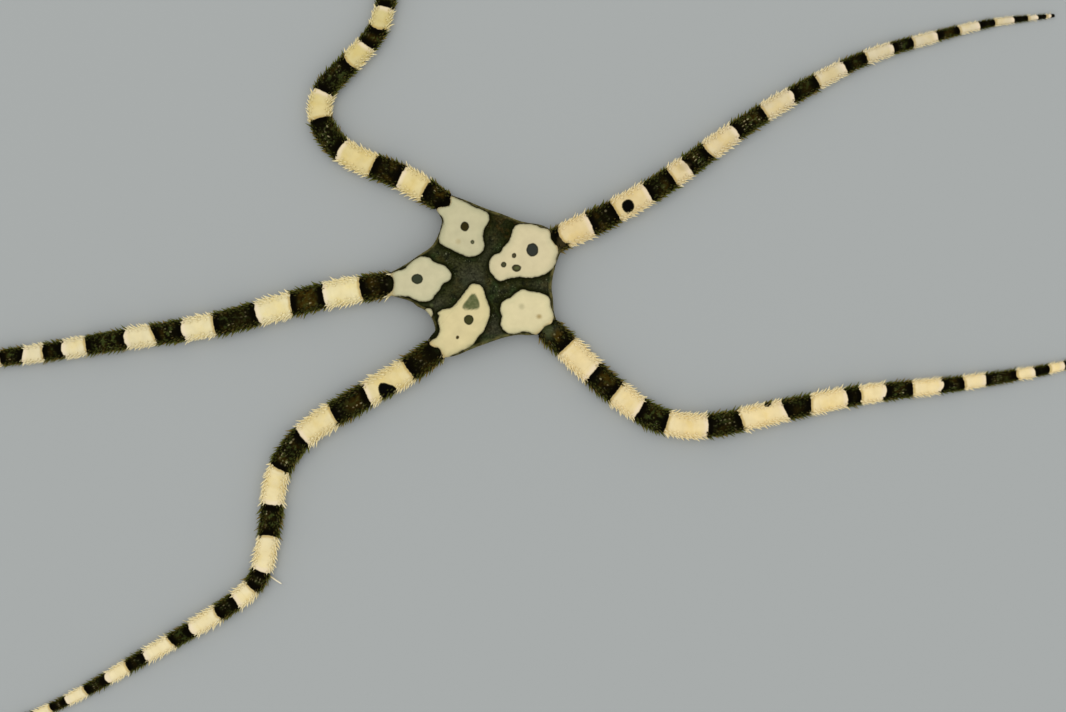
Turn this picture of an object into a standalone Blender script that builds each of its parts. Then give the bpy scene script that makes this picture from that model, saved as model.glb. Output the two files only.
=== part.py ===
"""A brittle star, life size, lying flat on its five arms with its mouth underneath.

Metres, +Z up, floor at Z = 0. Sizes below are in millimetres and are turned into metres by MM.
The model is first laid out about the middle of the disc, and at the end the whole of it is moved
so that the origin is under the middle of its bounding box.
"""

import bisect
import math
import random

import bmesh
import bpy
from mathutils import Matrix, Vector
from mathutils.geometry import interpolate_bezier

MM = 0.001
GAP = 0.3
SEED = 11

# Each arm's middle line seen from above, from the edge of the disc to its tip
ARM_ROUTES = {
    "a": ((13.4, 6.7), (24.2, 12.0), (34.4, 18.1), (45.9, 26.4), (57.2, 33.5), (69.8, 40.0), (82.8, 44.0),
          (93.4, 46.5), (104.3, 47.8)),
    "b": ((11.4, -8.2), (15.6, -12.3), (22.4, -18.8), (29.1, -23.9), (34.4, -26.2), (41.1, -26.7),
          (54.6, -23.9), (68.8, -21.1), (87.6, -18.9), (103.1, -16.4), (118.5, -12.6)),
    "c": ((-6.4, -11.7), (-12.5, -16.2), (-23.3, -22.7), (-32.0, -28.5), (-36.6, -35.3), (-38.3, -46.4),
          (-40.6, -54.8), (-47.3, -60.4), (-61.0, -68.6), (-75.6, -76.8), (-86.5, -81.0), (-96.0, -81.5)),
    "d": ((-14.6, -0.8), (-28.0, -3.1), (-47.9, -8.3), (-63.9, -10.9), (-83.0, -13.9), (-103.0, -15.6),
          (-117.0, -12.0), (-127.0, -4.5)),
    "e": ((-6.0, 13.5), (-14.2, 18.3), (-24.6, 22.9), (-28.8, 28.4), (-28.2, 33.9), (-23.6, 39.0),
          (-18.7, 44.9), (-16.6, 52.5), (-14.2, 65.0), (-6.5, 78.0), (4.5, 87.0), (14.0, 90.0)),
}
# Points that the curve has between two of these, and how far each way its heading is read
ROUTE_STEPS = 24
HEADING_REACH = 0.4
# Where each arm is parted into lengths, as distances along it from the disc. Bends are parted midway.
ARM_CUTS = {
    "a": (19.0, 38.5, 55.8, 74.7, 90.1),
    "b": (18.0, 31.4, 50.4, 69.1, 93.0),
    "c": (16.8, 34.0, 50.2, 58.4, 77.9, 99.9),
    "d": (19.9, 40.2, 57.7, 73.6, 96.6),
    "e": (15.0, 24.8, 33.3, 48.3, 66.0, 88.0),
}

# An arm's own body, without its spines. Each arm tapers a little otherwise, and is pinched at the disc.
ARM_WIDTH = 4.4
TIP_WIDTH = 0.6
ARM_TAPERS = {"a": 1.25, "b": 1.7, "c": 1.5, "d": 1.5, "e": 1.5}
BASE_PINCHES = {"a": 0.06, "b": 0.04, "c": 0.06, "d": 0.08, "e": 0.24}
PINCH_REACH = 3.0
HEIGHT_OF_WIDTH = 0.8
# Its joints, each a little over two segments long, widen from a waist and then step back in
SEGMENTS_A_JOINT = 2.2
JOINT_WAIST = 0.94
JOINT_FLARE = 1.03
JOINT_STEP = 0.3
# Half of an arm's section, from the middle of its flat underside to the middle of its back,
# as shares of the half width and of the height
ARM_SECTION = ((0.62, 0.0), (0.98, 0.24), (0.95, 0.60), (0.52, 0.95))

# Spines, one a side at each arm segment, by turns from high and low on the side plates
SEGMENT_PITCH = 1.8
TIP_SEGMENT_PITCH = 1.0
PITCH_POWER = 1.3
SPINE_LENGTH = 1.75
TIP_SPINE_LENGTH = 0.8
SPINE_RADIUS = 0.34
TIP_SPINE_RADIUS = 0.27
SPINE_SIDES = 3
SPINE_LEAN = 36.0
HIGH_SPINE = (0.62, 24.0)
LOW_SPINE = (0.36, 4.0)
# How deep a root is sunk, as a share of the arm's width, and at most
SPINE_ROOT = 0.3
DEEPEST_ROOT = 0.65
# How far from the two ends of a length its first and last spines stand
FIRST_SPINE = 0.95
LAST_SPINE = 0.68
BARE_TIP = 2.6

# The disc's edge between one arm and the next, anticlockwise from arm a
DISC_SIDES = {
    "a": ((9.6, 9.8), (6.0, 10.7), (2.6, 12.0), (-1.6, 13.6)),
    "e": ((-7.1, 10.2), (-7.6, 7.8), (-8.8, 5.8), (-11.6, 3.8)),
    "d": ((-13.2, -3.9), (-11.2, -5.15), (-9.8, -5.85), (-8.5, -7.5)),
    "c": ((-2.2, -13.05), (0.8, -11.9), (3.6, -10.95), (6.6, -10.25)),
    "b": ((13.15, -3.8), (12.9, -1.7), (13.3, 1.2)),
}
DISC_TOP = 5.2
SHOULDER_BACK = 0.5
SHOULDER_WIDER = 0.25
DISC_EDGE_STEPS = 3
# The disc's edge profile from beneath to above: how far inside the outline, and how high
DISC_PROFILE = ((3.2, 1.0), (1.0, 0.8), (0.15, 1.6), (0.0, 2.6), (0.4, 3.6), (1.6, 4.4))
# Rounds on the back inside that, by radius and height
DISC_CROWN = ((6.4, 4.95), (2.4, DISC_TOP))
# How far from the middle an arm's root starts beneath the disc
ROOT_START = 2.6

# The mouth, five jaws in a round well beneath the disc, each between two arms
MOUTH_RADIUS = 3.5
MOUTH_DEPTH = 2.0
MOUTH_SIDES = 25
JAW_TIP_RADIUS = 0.55
JAW_WAIST = (1.7, 0.62)
JAW_SPREAD = 27.0
JAW_BOTTOM = 0.35

SKIN_CREAM = (0.79, 0.70, 0.42)
DISC_OLIVE = (0.035, 0.038, 0.024)
JAW_CREAM = (0.66, 0.58, 0.38)


def remove_everything():
    for thing in list(bpy.data.objects):
        bpy.data.objects.remove(thing, do_unlink=True)


def make_collection(name):
    collection = bpy.data.collections.new(name)
    bpy.context.scene.collection.children.link(collection)
    return collection


def make_material(name, colour, roughness):
    material = bpy.data.materials.new(name)
    material.use_nodes = True
    shader = material.node_tree.nodes["Principled BSDF"]
    shader.inputs["Base Color"].default_value = (*colour, 1.0)
    shader.inputs["Roughness"].default_value = roughness
    shader.inputs["Metallic"].default_value = 0.0
    return material


def smooth_line(points, steps, closed=False):
    """A curve through the points, which leaves each one along the line between its neighbours."""
    points = [Vector((x, y, 0.0)) for x, y in points]
    count = len(points)
    slopes = []
    for i in range(count):
        before = points[i - 1] if closed or i > 0 else points[i]
        after = points[(i + 1) % count] if closed or i < count - 1 else points[i]
        slopes.append((after - before).normalized())
    line = [points[0]]
    for i in range(count if closed else count - 1):
        j = (i + 1) % count
        reach = (points[j] - points[i]).length / 3
        handles = points[i] + slopes[i] * reach, points[j] - slopes[j] * reach
        line.extend(interpolate_bezier(points[i], *handles, points[j], steps + 1)[1:])
    return line[:-1] if closed else line


class Arm:
    """One arm: its middle line, read by the distance along it, and how wide it is there."""

    def __init__(self, letter):
        self.letter = letter
        self.line = smooth_line(ARM_ROUTES[letter], ROUTE_STEPS)
        self.marks = [0.0]
        for a, b in zip(self.line, self.line[1:]):
            self.marks.append(self.marks[-1] + (b - a).length)
        self.length = self.marks[-1]

    def place(self, distance):
        """The point there. Past either end the line carries on straight."""
        last = len(self.marks) - 1
        i = min(max(bisect.bisect_left(self.marks, distance), 1), last)
        share = (distance - self.marks[i - 1]) / (self.marks[i] - self.marks[i - 1])
        return self.line[i - 1].lerp(self.line[i], share)

    def heading(self, distance):
        return (self.place(distance + HEADING_REACH) - self.place(distance - HEADING_REACH)).normalized()

    def share(self, distance):
        return min(max(distance / self.length, 0.0), 1.0)

    def width(self, distance):
        taper = 1 - self.share(distance) ** ARM_TAPERS[self.letter]
        pinch = 1 - BASE_PINCHES[self.letter] * math.exp(-max(distance, 0.0) / PINCH_REACH)
        return (TIP_WIDTH + (ARM_WIDTH - TIP_WIDTH) * taper) * pinch


def sideways(heading):
    return Vector((-heading.y, heading.x, 0.0))


def arm_section(width):
    """The section's points as sideways and upward distances, going round."""
    height = width * HEIGHT_OF_WIDTH
    right = [(width / 2 * x, height * z) for x, z in ARM_SECTION]
    left = [(-x, z) for x, z in reversed(right)]
    return right + left


def loft(name, rings):
    """A closed body through rings of points that match one to one."""
    bm = bmesh.new()
    rows = [[bm.verts.new(point * MM) for point in ring] for ring in rings]
    count = len(rows[0])
    for low, high in zip(rows, rows[1:]):
        for i in range(count):
            j = (i + 1) % count
            bm.faces.new((low[i], low[j], high[j], high[i]))
    bm.faces.new(list(reversed(rows[0])))
    bm.faces.new(rows[-1])
    bmesh.ops.recalc_face_normals(bm, faces=bm.faces)
    bmesh.ops.triangulate(bm, faces=bm.faces)
    mesh = bpy.data.meshes.new(name)
    bm.to_mesh(mesh)
    bm.free()
    return bpy.data.objects.new(name, mesh)


def ring_at(arm, distance, heading, swell=1.0):
    """The arm's section there, square to the heading and made wider by the swell."""
    middle = arm.place(distance)
    side = sideways(heading)
    return [middle + side * x + Vector((0, 0, z)) for x, z in arm_section(arm.width(distance) * swell)]


def segment_pitch(arm, start, end):
    share = arm.share((start + end) / 2)
    return SEGMENT_PITCH + (TIP_SEGMENT_PITCH - SEGMENT_PITCH) * share**PITCH_POWER


def arm_body(name, arm, start, end):
    """One length of an arm, joint by joint. Its end faces are square to the arm where it is parted."""
    first = start + GAP / 2 if start > 0 else start
    last = end - GAP / 2 if end < arm.length else end
    joints = max(1, round((last - first) / (SEGMENTS_A_JOINT * segment_pitch(arm, start, end))))
    length = (last - first) / joints
    rings = []
    for joint in range(joints):
        near = first + joint * length
        far = near + length - (JOINT_STEP if joint < joints - 1 else 0.0)
        near_heading = arm.heading(start if joint == 0 else near)
        far_heading = arm.heading(end if joint == joints - 1 else far)
        rings.append(ring_at(arm, near, near_heading, JOINT_WAIST))
        rings.append(ring_at(arm, far, far_heading, JOINT_FLARE))
    return loft(name, rings)


def spine_stations(arm, start, end):
    """Distances along the arm of one length's spines, evenly spaced and clear of both its ends."""
    first, last = start + FIRST_SPINE, end - LAST_SPINE
    count = max(1, round((last - first) / segment_pitch(arm, start, end)))
    return [first + (last - first) * i / count for i in range(count + 1)]


def add_spine(collection, name, root, direction, sunk, length, radius):
    """A pointed cone whose root is sunk in the body behind the point where it comes out."""
    bm = bmesh.new()
    depth = sunk + length
    bmesh.ops.create_cone(bm, cap_ends=True, segments=SPINE_SIDES, radius1=radius * MM, radius2=0.0,
                          depth=depth * MM, matrix=Matrix.Translation((0, 0, (depth / 2 - sunk) * MM)))
    bmesh.ops.triangulate(bm, faces=bm.faces)
    turn = direction.to_track_quat("Z", "Y").to_matrix().to_4x4()
    bmesh.ops.transform(bm, matrix=Matrix.Translation(root * MM) @ turn, verts=bm.verts)
    mesh = bpy.data.meshes.new(name)
    bm.to_mesh(mesh)
    bm.free()
    collection.objects.link(bpy.data.objects.new(name, mesh))


def grow_spines(collection, arm, start, end, chance):
    """Spines down both sides of one length, pointing out and towards the tip."""
    last = min(end, arm.length - BARE_TIP)
    for number, distance in enumerate(spine_stations(arm, start, last)):
        share = arm.share(distance)
        width = arm.width(distance)
        heading = arm.heading(distance)
        length = SPINE_LENGTH + (TIP_SPINE_LENGTH - SPINE_LENGTH) * share**2
        radius = SPINE_RADIUS + (TIP_SPINE_RADIUS - SPINE_RADIUS) * share
        sunk = min(DEEPEST_ROOT, width * SPINE_ROOT)
        for hand in (1, -1):
            level, rise = HIGH_SPINE if (number + (hand > 0)) % 2 else LOW_SPINE
            lean = math.radians(SPINE_LEAN + chance.uniform(-5, 5))
            rise = math.radians(rise + chance.uniform(-4, 4))
            side = sideways(heading) * hand
            outward = side * math.cos(rise) + Vector((0, 0, math.sin(rise)))
            direction = heading * math.cos(lean) + outward * math.sin(lean)
            height = Vector((0, 0, width * HEIGHT_OF_WIDTH * level))
            root = arm.place(distance) + side * width * 0.48 + height
            reach = length * chance.uniform(0.88, 1.12)
            add_spine(collection, f"spine_{number}_{hand}", root, direction, sunk, reach, radius)


def apply_modifiers(thing):
    graph = bpy.context.evaluated_depsgraph_get()
    mesh = bpy.data.meshes.new_from_object(thing.evaluated_get(graph))
    thing.modifiers.clear()
    thing.data = mesh


def keep_largest(thing):
    """Keeps the closed surface with the most faces, so no scrap or sealed hollow is left."""
    bm = bmesh.new()
    bm.from_mesh(thing.data)
    bm.faces.ensure_lookup_table()
    unseen = set(bm.faces)
    groups = []
    while unseen:
        group, waiting = set(), [unseen.pop()]
        while waiting:
            face = waiting.pop()
            group.add(face)
            for edge in face.edges:
                for other in edge.link_faces:
                    if other in unseen:
                        unseen.discard(other)
                        waiting.append(other)
        groups.append(group)
    groups.sort(key=len)
    for group in groups[:-1]:
        bmesh.ops.delete(bm, geom=list(group), context="FACES")
    bmesh.ops.triangulate(bm, faces=bm.faces)
    bm.to_mesh(thing.data)
    bm.free()


def combine(thing, collection, operation, solver="EXACT"):
    """Joins or cuts a body by every object of a collection, whose objects are then removed."""
    modifier = thing.modifiers.new(operation.lower(), "BOOLEAN")
    modifier.operation = operation
    modifier.operand_type = "COLLECTION"
    modifier.collection = collection
    modifier.solver = solver
    apply_modifiers(thing)
    for tool in list(collection.objects):
        bpy.data.objects.remove(tool, do_unlink=True)
    keep_largest(thing)


def finish(thing, material):
    thing.data.materials.clear()
    thing.data.materials.append(material)
    thing.data.shade_flat()


def make_arm(arm, model, helpers, material):
    chance = random.Random(f"{SEED}{arm.letter}")
    ends = (0.0, *ARM_CUTS[arm.letter], arm.length)
    for number, (start, end) in enumerate(zip(ends, ends[1:]), 1):
        thing = arm_body(f"arm_{arm.letter}_{number}", arm, start, end)
        model.objects.link(thing)
        grow_spines(helpers, arm, start, end, chance)
        combine(thing, helpers, "UNION", "MANIFOLD")
        finish(thing, material)


def shoulder(arm, hand):
    """Where the disc's edge meets one side of an arm's root."""
    half = arm.width(0.0) / 2 + SHOULDER_WIDER
    point = arm.place(-SHOULDER_BACK) + sideways(arm.heading(0.0)) * hand * half
    return point.x, point.y


def disc_outline(arms):
    """The disc's edge from above: a curve from each arm's shoulder to the next arm's."""
    outline = []
    letters = list(DISC_SIDES)
    for letter, after in zip(letters, letters[1:] + letters[:1]):
        points = [shoulder(arms[letter], 1), *DISC_SIDES[letter], shoulder(arms[after], -1)]
        outline.extend(smooth_line(points, DISC_EDGE_STEPS))
    return outline


def disc_rings(arms):
    outline = disc_outline(arms)
    rings = []
    for inset, height in DISC_PROFILE:
        rings.append([point * (1 - inset / point.length) + Vector((0, 0, height)) for point in outline])
    for radius, height in DISC_CROWN:
        rings.append([point.normalized() * radius + Vector((0, 0, height)) for point in outline])
    return rings


def make_disc(arms, model, helpers, material):
    """The disc with the five arm roots that run under it, and the well of the mouth between them."""
    disc = loft("disc", disc_rings(arms))
    model.objects.link(disc)
    for arm in arms.values():
        heading = arm.heading(0.0)
        inner = ROOT_START - arm.place(0.0).length
        rings = [ring_at(arm, distance, heading) for distance in (inner, -GAP)]
        helpers.objects.link(loft(f"root_{arm.letter}", rings))
    combine(disc, helpers, "UNION")
    well = bmesh.new()
    bmesh.ops.create_cone(well, cap_ends=True, segments=MOUTH_SIDES, radius1=MOUTH_RADIUS * MM,
                          radius2=MOUTH_RADIUS * MM, depth=2 * MOUTH_DEPTH * MM)
    mesh = bpy.data.meshes.new("well")
    well.to_mesh(mesh)
    well.free()
    helpers.objects.link(bpy.data.objects.new("well", mesh))
    combine(disc, helpers, "DIFFERENCE")
    finish(disc, material)


def jaw_bearings(arms):
    """The directions midway between neighbouring arms."""
    bearings = sorted(math.atan2(arm.place(0.0).y, arm.place(0.0).x) for arm in arms.values())
    wrapped = bearings[1:] + [bearings[0] + math.tau]
    return [(a + b) / 2 for a, b in zip(bearings, wrapped)]


def make_jaw(number, bearing, model, material):
    """A wedge that points to the middle of the mouth, with slits left on both sides of it."""
    outer = MOUTH_RADIUS - GAP
    waist, half = JAW_WAIST
    outline = [(JAW_TIP_RADIUS, 0.0), (waist, -half)]
    for step in range(-2, 3):
        angle = math.radians(JAW_SPREAD * step / 2)
        outline.append((outer * math.cos(angle), outer * math.sin(angle)))
    outline.append((waist, half))
    turn = Matrix.Rotation(bearing, 3, "Z")
    rings = [[turn @ Vector((x, y, z)) for x, y in outline] for z in (JAW_BOTTOM, MOUTH_DEPTH - GAP)]
    jaw = loft(f"jaw_{number}", rings)
    model.objects.link(jaw)
    finish(jaw, material)


def centre_on_floor(model):
    """Moves every body so that the origin is under the middle of the bounding box."""
    corners = [vert.co for thing in model.objects for vert in thing.data.vertices]
    middle_x = (min(c.x for c in corners) + max(c.x for c in corners)) / 2
    middle_y = (min(c.y for c in corners) + max(c.y for c in corners)) / 2
    shift = Matrix.Translation((-middle_x, -middle_y, 0.0))
    for thing in model.objects:
        thing.data.transform(shift)


def main():
    remove_everything()
    model = make_collection("brittle_star")
    helpers = make_collection("helpers")
    arm_skin = make_material("arm_skin", SKIN_CREAM, 0.55)
    disc_skin = make_material("disc_skin", DISC_OLIVE, 0.6)
    jaw_plate = make_material("jaw_plate", JAW_CREAM, 0.5)
    arms = {letter: Arm(letter) for letter in ARM_ROUTES}
    make_disc(arms, model, helpers, disc_skin)
    for number, bearing in enumerate(jaw_bearings(arms), 1):
        make_jaw(number, bearing, model, jaw_plate)
    for arm in arms.values():
        make_arm(arm, model, helpers, arm_skin)
    centre_on_floor(model)


main()
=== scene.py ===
"""Looks of a banded brittle star, life size: skin, spines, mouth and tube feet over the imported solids.

Lengths whose names or notes give no other unit are millimetres from the middle of the disc, and are turned
into metres by MM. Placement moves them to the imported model's own place, which it reads from the disc's box.
"""

import bisect
import logging
import math
import random
from dataclasses import dataclass, field
from enum import Enum

import bmesh
import bpy
import numpy as np
from mathutils import Matrix, Vector, noise
from mathutils.geometry import interpolate_bezier

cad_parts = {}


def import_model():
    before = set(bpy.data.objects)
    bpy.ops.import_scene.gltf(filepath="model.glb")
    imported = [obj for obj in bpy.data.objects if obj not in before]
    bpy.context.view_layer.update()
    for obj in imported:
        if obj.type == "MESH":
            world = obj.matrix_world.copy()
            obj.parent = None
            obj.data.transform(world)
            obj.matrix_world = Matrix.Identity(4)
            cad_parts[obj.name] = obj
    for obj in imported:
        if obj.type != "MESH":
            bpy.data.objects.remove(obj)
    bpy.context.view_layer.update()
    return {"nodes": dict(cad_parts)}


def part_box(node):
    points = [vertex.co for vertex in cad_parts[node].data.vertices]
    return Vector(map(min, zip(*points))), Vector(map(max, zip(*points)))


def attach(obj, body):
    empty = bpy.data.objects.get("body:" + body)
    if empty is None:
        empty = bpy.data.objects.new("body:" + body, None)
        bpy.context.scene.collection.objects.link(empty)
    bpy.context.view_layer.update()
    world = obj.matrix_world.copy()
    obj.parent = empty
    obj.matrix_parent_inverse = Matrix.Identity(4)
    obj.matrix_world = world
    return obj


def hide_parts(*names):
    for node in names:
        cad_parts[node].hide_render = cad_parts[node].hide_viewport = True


MM = 0.001
BODY = "root"
BAKE_MAP = "OFBake"
BAKE_PATCH = 0.003
# The arms' strips on the bake map: the map's margin, how far before the disc's edge and over what
# length a strip runs, and its pitch and width
BAKE_EDGE = 0.01
STRIP_BACK = 15.0
STRIP_LENGTH = 140.0
STRIP_PITCH = 0.1
STRIP_WIDTH = 0.092
LOG = logging.getLogger("brittle_star")

Point = tuple[float, float]
Point3 = tuple[float, float, float]
Colour = tuple[float, float, float]


class Tint(Enum):
    """What a small spot on the skin is coloured with."""

    INK = "ink"
    MOSS = "moss"
    TAN = "tan"
    RUST = "rust"
    BLOOM = "bloom"


class Hand(Enum):
    """A side of an arm, seen from above with the tip ahead."""

    LEFT = 1
    RIGHT = -1


@dataclass(frozen=True)
class Spot:
    """A small round or oval spot.

    Attributes:
        x, y: its middle.
        wide, tall: its half sizes across and up.
        tint: its colour.
        strength: how far it covers the skin, 0 to 1.
        stain: what a dark one is filled with.
    """

    x: float
    y: float
    wide: float
    tall: float
    tint: Tint = Tint.INK
    strength: float = 1.0
    stain: Colour = (0.040, 0.031, 0.012)

    def distance(self, places: np.ndarray) -> np.ndarray:
        """Distances outside the spot's edge.

        Args:
            places: N × 2 places from above.

        Returns:
            N distances, below zero inside.
        """
        shares = (places - (self.x, self.y)) / (self.wide, self.tall)
        return (np.hypot(shares[:, 0], shares[:, 1]) - 1.0) * min(self.wide, self.tall)


@dataclass(frozen=True)
class Patch:
    """A lobed patch with a smooth edge through its points, and how its colour is off the usual one."""

    points: tuple[Point, ...]
    cast: Colour = (1.0, 1.0, 1.0)

    def depth(self, places: np.ndarray) -> np.ndarray:
        """Distances inside the patch's edge.

        Args:
            places: N × 2 places from above.

        Returns:
            N distances, below zero outside.
        """
        edge = np.array([point.to_2d() for point in smooth_line(self.points, 6, closed=True)])
        after = np.roll(edge, -1, axis=0)
        run = after - edge
        off = places[:, None, :] - edge[None, :, :]
        share = np.clip((off * run).sum(2) / (run * run).sum(1), 0.0, 1.0)
        gaps = np.linalg.norm(off - share[..., None] * run, axis=2).min(axis=1)
        crosses = (edge[:, 1] > places[:, 1:]) != (after[:, 1] > places[:, 1:])
        rise = np.where(np.abs(run[:, 1]) < 1e-9, 1e-9, run[:, 1])
        reach = edge[:, 0] + (places[:, 1:] - edge[:, 1]) * run[:, 0] / rise
        inside = (crosses & (places[:, :1] < reach)).sum(axis=1) % 2 == 1
        return np.where(inside, gaps, -gaps)


@dataclass(frozen=True)
class ArmPlan:
    """What sets one arm apart.

    Attributes:
        letter: its name.
        route: its middle line from the disc's edge to the tip.
        taper: how late it narrows.
        pinch: how much narrower it is at the disc.
        shoulders: how far the disc's skin reaches along its left and right side.
        turns: distances along it where dark and pale take turns, its first band being dark.
        bows: how far both sides of some changes stand nearer the disc, by the change's number.
        slants: how far the left side of some changes stands nearer the tip, by the change's number.
        cast, far_cast: how its pale colour is off the usual one, near the disc and far out; arm e's two are mostly
            painted shade.
        fringe: how far past the disc's skin its spines start.
        bristle: how long its spines are, as a share of the usual.
        handover: how much nearer the disc its own dark skin takes over from the disc's.
    """

    letter: str
    route: tuple[Point, ...]
    taper: float
    pinch: float
    shoulders: tuple[float, float]
    turns: tuple[float, ...]
    bows: dict[int, float] = field(default_factory=dict)
    slants: dict[int, float] = field(default_factory=dict)
    cast: Colour = (1.0, 1.0, 1.0)
    far_cast: Colour = (1.0, 1.0, 1.0)
    fringe: float = 0.1
    bristle: float = 1.0
    handover: float = 0.0


ARM_PLANS = (
    ArmPlan(
        "a",
        ((13.4, 6.7), (24.2, 12.0), (34.4, 18.1), (45.9, 26.4), (57.2, 33.5), (69.8, 40.0), (82.8, 44.0),
         (93.4, 46.5), (104.3, 47.8)),
        1.25, 0.06, (0.4, 0.3),
        (1.2, 7.2, 12.3, 19.0, 24.2, 27.6, 32.0, 38.5, 44.6, 50.7, 55.8, 61.4, 65.7, 70.9, 74.7, 79.2, 83.4,
         87.2, 90.1, 93.6, 96.2, 98.0, 99.5, 100.4),
        {0: -0.8, 6: -0.4, 7: 0.4, 9: 0.4, 13: 0.2},
        {0: -0.2, 6: -0.2},
        (0.88, 0.86, 0.84), (0.80, 0.84, 1.00), -0.3, 0.9, 0.8,
    ),
    ArmPlan(
        "b",
        ((11.4, -8.2), (15.6, -12.3), (22.4, -18.8), (29.1, -23.9), (34.4, -26.2), (41.1, -26.7),
         (54.6, -23.9), (68.8, -21.1), (87.6, -18.9), (103.1, -16.4), (118.5, -12.6)),
        1.7, 0.04, (1.0, 0.6),
        (5.9, 12.5, 18.0, 23.3, 28.8, 36.3, 42.4, 50.4, 55.3, 62.0, 64.6, 69.1, 74.0, 79.6, 83.4, 87.4, 93.0,
         96.5, 99.2, 102.0, 104.4, 106.6, 108.6, 110.4, 112.0, 113.4, 114.4),
        {5: 0.3, 7: -0.2, 9: 0.3, 10: 0.3, 11: 0.4, 13: 0.6, 16: -0.4},
        {5: 0.2, 6: -0.2, 7: -0.4, 8: 0.3, 11: 0.4, 13: 0.3},
        (0.94, 0.94, 0.95), (1.00, 1.00, 1.01), handover=-1.7,
    ),
    ArmPlan(
        "c",
        ((-6.4, -11.7), (-12.5, -16.2), (-23.3, -22.7), (-32.0, -28.5), (-36.6, -35.3), (-38.3, -46.4),
         (-40.6, -54.8), (-47.3, -60.4), (-61.0, -68.6), (-75.6, -76.8), (-86.5, -81.0), (-96.0, -81.5)),
        1.5, 0.06, (1.4, 2.2),
        (8.1, 16.8, 23.9, 30.8, 38.0, 44.6, 50.2, 56.8, 60.3, 63.9, 68.2, 73.8, 77.9, 83.4, 87.1, 91.6,
         95.9, 99.9, 103.0, 106.5, 109.3, 112.0, 114.2, 116.3, 118.0, 119.6, 120.9),
        {6: -0.3, 9: -0.3, 10: 0.4, 11: 0.3, 15: 0.3},
        {1: 0.2, 3: 0.2, 6: -0.2, 12: -0.3},
        (0.88, 0.90, 0.86), (0.98, 1.03, 1.13), bristle=1.06,
    ),
    ArmPlan(
        "d",
        ((-14.6, -0.8), (-28.0, -3.1), (-47.9, -8.3), (-63.9, -10.9), (-83.0, -13.9), (-103.0, -15.6),
         (-117.0, -12.0), (-127.0, -4.5)),
        1.5, 0.08, (1.6, 1.1),
        (7.1, 13.8, 19.9, 26.4, 34.3, 40.2, 45.3, 50.7, 57.7, 62.2, 65.7, 69.3, 73.6, 78.0, 81.8, 86.0,
         89.6, 93.4, 96.6, 99.8, 102.6, 105.2, 107.6, 109.8, 111.6, 113.2, 114.6, 115.8),
        {0: 0.2, 1: 0.2, 3: 0.2, 5: 0.4, 6: -0.2, 7: 0.4, 8: -0.2, 9: 0.3, 11: -0.2},
        {2: 0.3, 6: -0.5, 11: 0.4},
        (0.95, 1.02, 1.08), (0.90, 0.96, 1.09), bristle=0.97,
    ),
    ArmPlan(
        "e",
        ((-6.0, 13.5), (-14.2, 18.3), (-24.6, 22.9), (-28.8, 28.4), (-28.2, 33.9), (-23.6, 39.0),
         (-18.7, 44.9), (-16.6, 52.5), (-14.2, 65.0), (-6.5, 78.0), (4.5, 86.9), (14.0, 89.4)),
        1.5, 0.24, (1.1, -0.05),
        (4.7, 9.6, 15.0, 21.7, 28.4, 33.3, 40.2, 44.7, 48.3, 52.5, 56.6, 61.0, 64.8, 69.2, 73.0, 77.2,
         80.6, 84.4, 87.6, 90.8, 93.6, 96.4, 98.8, 101.0, 103.0, 104.8, 106.4, 107.6),
        {0: 0.2, 3: 0.2, 6: -0.5, 7: -0.2, 8: -0.5},
        {2: 0.2, 3: -0.2, 6: 0.2, 7: -0.2, 8: -0.2},
        # Painted shade: arm e's casts darken its pale bands, most of all far out, where shade fell on it.
        (0.87, 0.88, 0.79), (0.73, 0.76, 0.62), bristle=0.88, handover=1.7,
    ),
)

# The disc's edge between one arm and the next, anticlockwise from arm a
DISC_SIDES: dict[str, tuple[Point, ...]] = {
    "a": ((11.0, 9.6), (7.6, 10.2), (3.8, 11.6), (0.5, 12.75), (-2.5, 14.0)),
    "e": ((-7.1, 10.95), (-6.9, 10.1), (-7.55, 7.8), (-8.75, 5.75), (-11.1, 4.1), (-13.5, 2.45)),
    "d": ((-14.2, -3.65), (-12.4, -4.25), (-11.2, -5.15), (-9.9, -5.8), (-8.9, -6.95), (-8.35, -8.1),
          (-8.1, -9.3), (-8.4, -10.3)),
    "c": ((-4.3, -13.95), (-2.2, -13.05), (0.8, -11.9), (3.6, -10.95), (6.6, -10.25), (8.8, -10.3)),
    "b": ((13.3, -5.9), (13.15, -3.8), (12.9, -1.7), (13.15, 0.4), (13.7, 2.5), (14.2, 4.0)),
}
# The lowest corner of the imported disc's box, from the middle of the disc
DISC_CORNER: Point = (-14.6357, -13.2637)

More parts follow.
